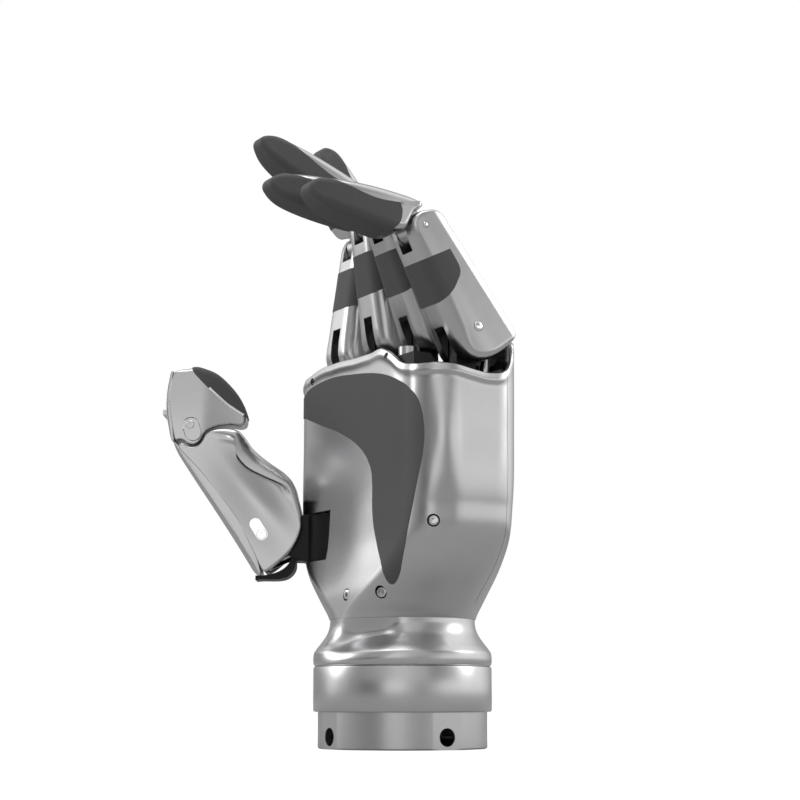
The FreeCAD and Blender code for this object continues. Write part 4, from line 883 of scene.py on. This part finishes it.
# Soft boxes and the gaps between them, by direction in degrees from the palm's side towards the little
# finger's side, with their brightness: one row of them stands low, the other starts over it
lowRow = [(-180, 0.95), (-165, 0.7), (-148, 0.36), (-120, 0.28), (-92, 0.30), (-74, 0.32), (-60, 0.42),
          (-50, 0.78), (-40, 0.88), (-26, 0.5), (-5, 0.28), (14, 0.10), (27, 0.16), (42, 0.95),
          (56, 0.95), (70, 0.50), (86, 0.34), (100, 0.62), (114, 0.96), (150, 1.0), (180, 0.95)]
highRow = [(-180, 1.0), (-165, 0.8), (-148, 0.38), (-120, 0.34), (-90, 0.42), (-72, 0.75), (-58, 1.0),
           (-44, 0.85), (-25, 0.5), (0, 0.32), (25, 0.42), (55, 0.66), (85, 0.52), (104, 0.25),
           (118, 0.35), (130, 0.48), (140, 0.95), (180, 1.0)]
# Lamps: place in metres, width and power
lamps = {"leftBox": ((-0.6, -0.75, 0.55), 0.6, 2.2), "rightBox": ((0.40, 0.82, 0.5), 0.45, 1.2),
         "topBox": ((0.1, -0.1, 0.95), 0.7, 3.0)}
lampAim = (0, 0, 0.1)
view = {"place": (0.4796, -0.2891, 0.015), "tilt": 99.86, "pan": 59, "lens": 77.76, "sensor": 36.0}


def makeFloor():
    far, low = floorSize, -floorDrop
    floor = newPiece("floor", [(-far, -far, low), (far, -far, low), (far, far, low), (-far, far, low)],
                     [(0, 1, 2, 3)])
    material = bpy.data.materials.new("paperFloor")
    material.use_nodes = True
    tree = material.node_tree
    tree.nodes.clear()
    path = addNode(tree, "ShaderNodeLightPath")
    matt = addNode(tree, "ShaderNodeBsdfDiffuse", {"Color": linear(paper["colour"])})
    glow = addNode(tree, "ShaderNodeEmission", {"Color": (1, 1, 1, 1), "Strength": paper["glow"]})
    dark = addNode(tree, "ShaderNodeEmission", {"Color": (0, 0, 0, 1), "Strength": 0.0})
    pick = addNode(tree, "ShaderNodeMixShader", links={0: path.outputs["Is Camera Ray"], 1: dark.outputs[0],
                                                       2: glow.outputs[0]})
    both = addNode(tree, "ShaderNodeAddShader", links={0: matt.outputs[0], 1: pick.outputs[0]})
    addNode(tree, "ShaderNodeOutputMaterial", links={"Surface": both.outputs[0]})
    floor.data.materials.append(material)


# One row of soft boxes: a ramp of greys round the horizon, from a share that goes once round it.
def softBoxes(tree, share, stops):
    ramp = addNode(tree, "ShaderNodeValToRGB", links={0: share.outputs[0]})
    ramp.color_ramp.interpolation = "EASE"
    marks = ramp.color_ramp.elements
    while len(marks) < len(stops):
        marks.new(0.5)
    for mark, (degrees, level) in zip(marks, stops):
        mark.position = (degrees + 180) / 360
        mark.color = (level, level, level, 1)
    return ramp


# Plain soft light for everything, white for the camera, and the rows of soft boxes for glossy rays only.
def makeSky():
    world = bpy.data.worlds.new("studio")
    bpy.context.scene.world = world
    world.use_nodes = True
    tree = world.node_tree
    tree.nodes.clear()
    path = addNode(tree, "ShaderNodeLightPath")
    way = addNode(tree, "ShaderNodeTexCoord")
    split = addNode(tree, "ShaderNodeSeparateXYZ", links={0: way.outputs["Generated"]})
    flip = addNode(tree, "ShaderNodeMath", {"operation": "MULTIPLY", 1: -1.0}, {0: split.outputs[1]})
    around = addNode(tree, "ShaderNodeMath", {"operation": "ARCTAN2"},
                     {0: split.outputs[0], 1: flip.outputs[0]})
    share = addNode(tree, "ShaderNodeMapRange", {"From Min": -math.pi, "From Max": math.pi},
                    {"Value": around.outputs[0]})
    rise = addNode(tree, "ShaderNodeMapRange", {"From Min": sky["rowFrom"], "From Max": sky["rowTo"]},
                   {"Value": split.outputs[2]})
    lowBoxes, highBoxes = softBoxes(tree, share, lowRow), softBoxes(tree, share, highRow)
    ramp = addNode(tree, "ShaderNodeMix", {"data_type": "RGBA"})
    for socket, source in ((0, rise), (6, lowBoxes), (7, highBoxes)):
        tree.links.new(source.outputs[0], ramp.inputs[socket])
    white = addNode(tree, "ShaderNodeBackground", {"Color": (1, 1, 1, 1), "Strength": sky["white"]})
    soft = addNode(tree, "ShaderNodeBackground", {"Color": (1, 1, 1, 1), "Strength": sky["soft"]})
    boxes = addNode(tree, "ShaderNodeBackground", {"Strength": sky["boxes"]}, {"Color": ramp.outputs[2]})
    shiny = addNode(tree, "ShaderNodeMixShader", links={
        0: path.outputs["Is Glossy Ray"], 1: soft.outputs[0], 2: boxes.outputs[0]})
    seen = addNode(tree, "ShaderNodeMixShader", links={
        0: path.outputs["Is Camera Ray"], 1: shiny.outputs[0], 2: white.outputs[0]})
    addNode(tree, "ShaderNodeOutputWorld", links={"Surface": seen.outputs[0]})


def makeLamps():
    for name, (where, size, power) in lamps.items():
        light = bpy.data.lights.new(name, "AREA")
        light.shape, light.size, light.energy = "DISK", size, power
        lamp = bpy.data.objects.new(name, light)
        lamp.location = where
        x, y, z = np.array(lampAim) - np.array(where)
        lamp.rotation_euler = (math.atan2(math.hypot(x, y), -z), 0, math.atan2(-x, y))
        bpy.context.collection.objects.link(lamp)


def makeCamera():
    data = bpy.data.cameras.new("camera")
    data.lens, data.sensor_width = view["lens"], view["sensor"]
    camera = bpy.data.objects.new("camera", data)
    camera.location = view["place"]
    camera.rotation_euler = (math.radians(view["tilt"]), 0, math.radians(view["pan"]))
    bpy.context.collection.objects.link(camera)
    bpy.context.scene.camera = camera


makeFloor()
makeSky()
makeLamps()
makeCamera()
bpy.context.scene.view_settings.view_transform = "Standard"
say("studio")
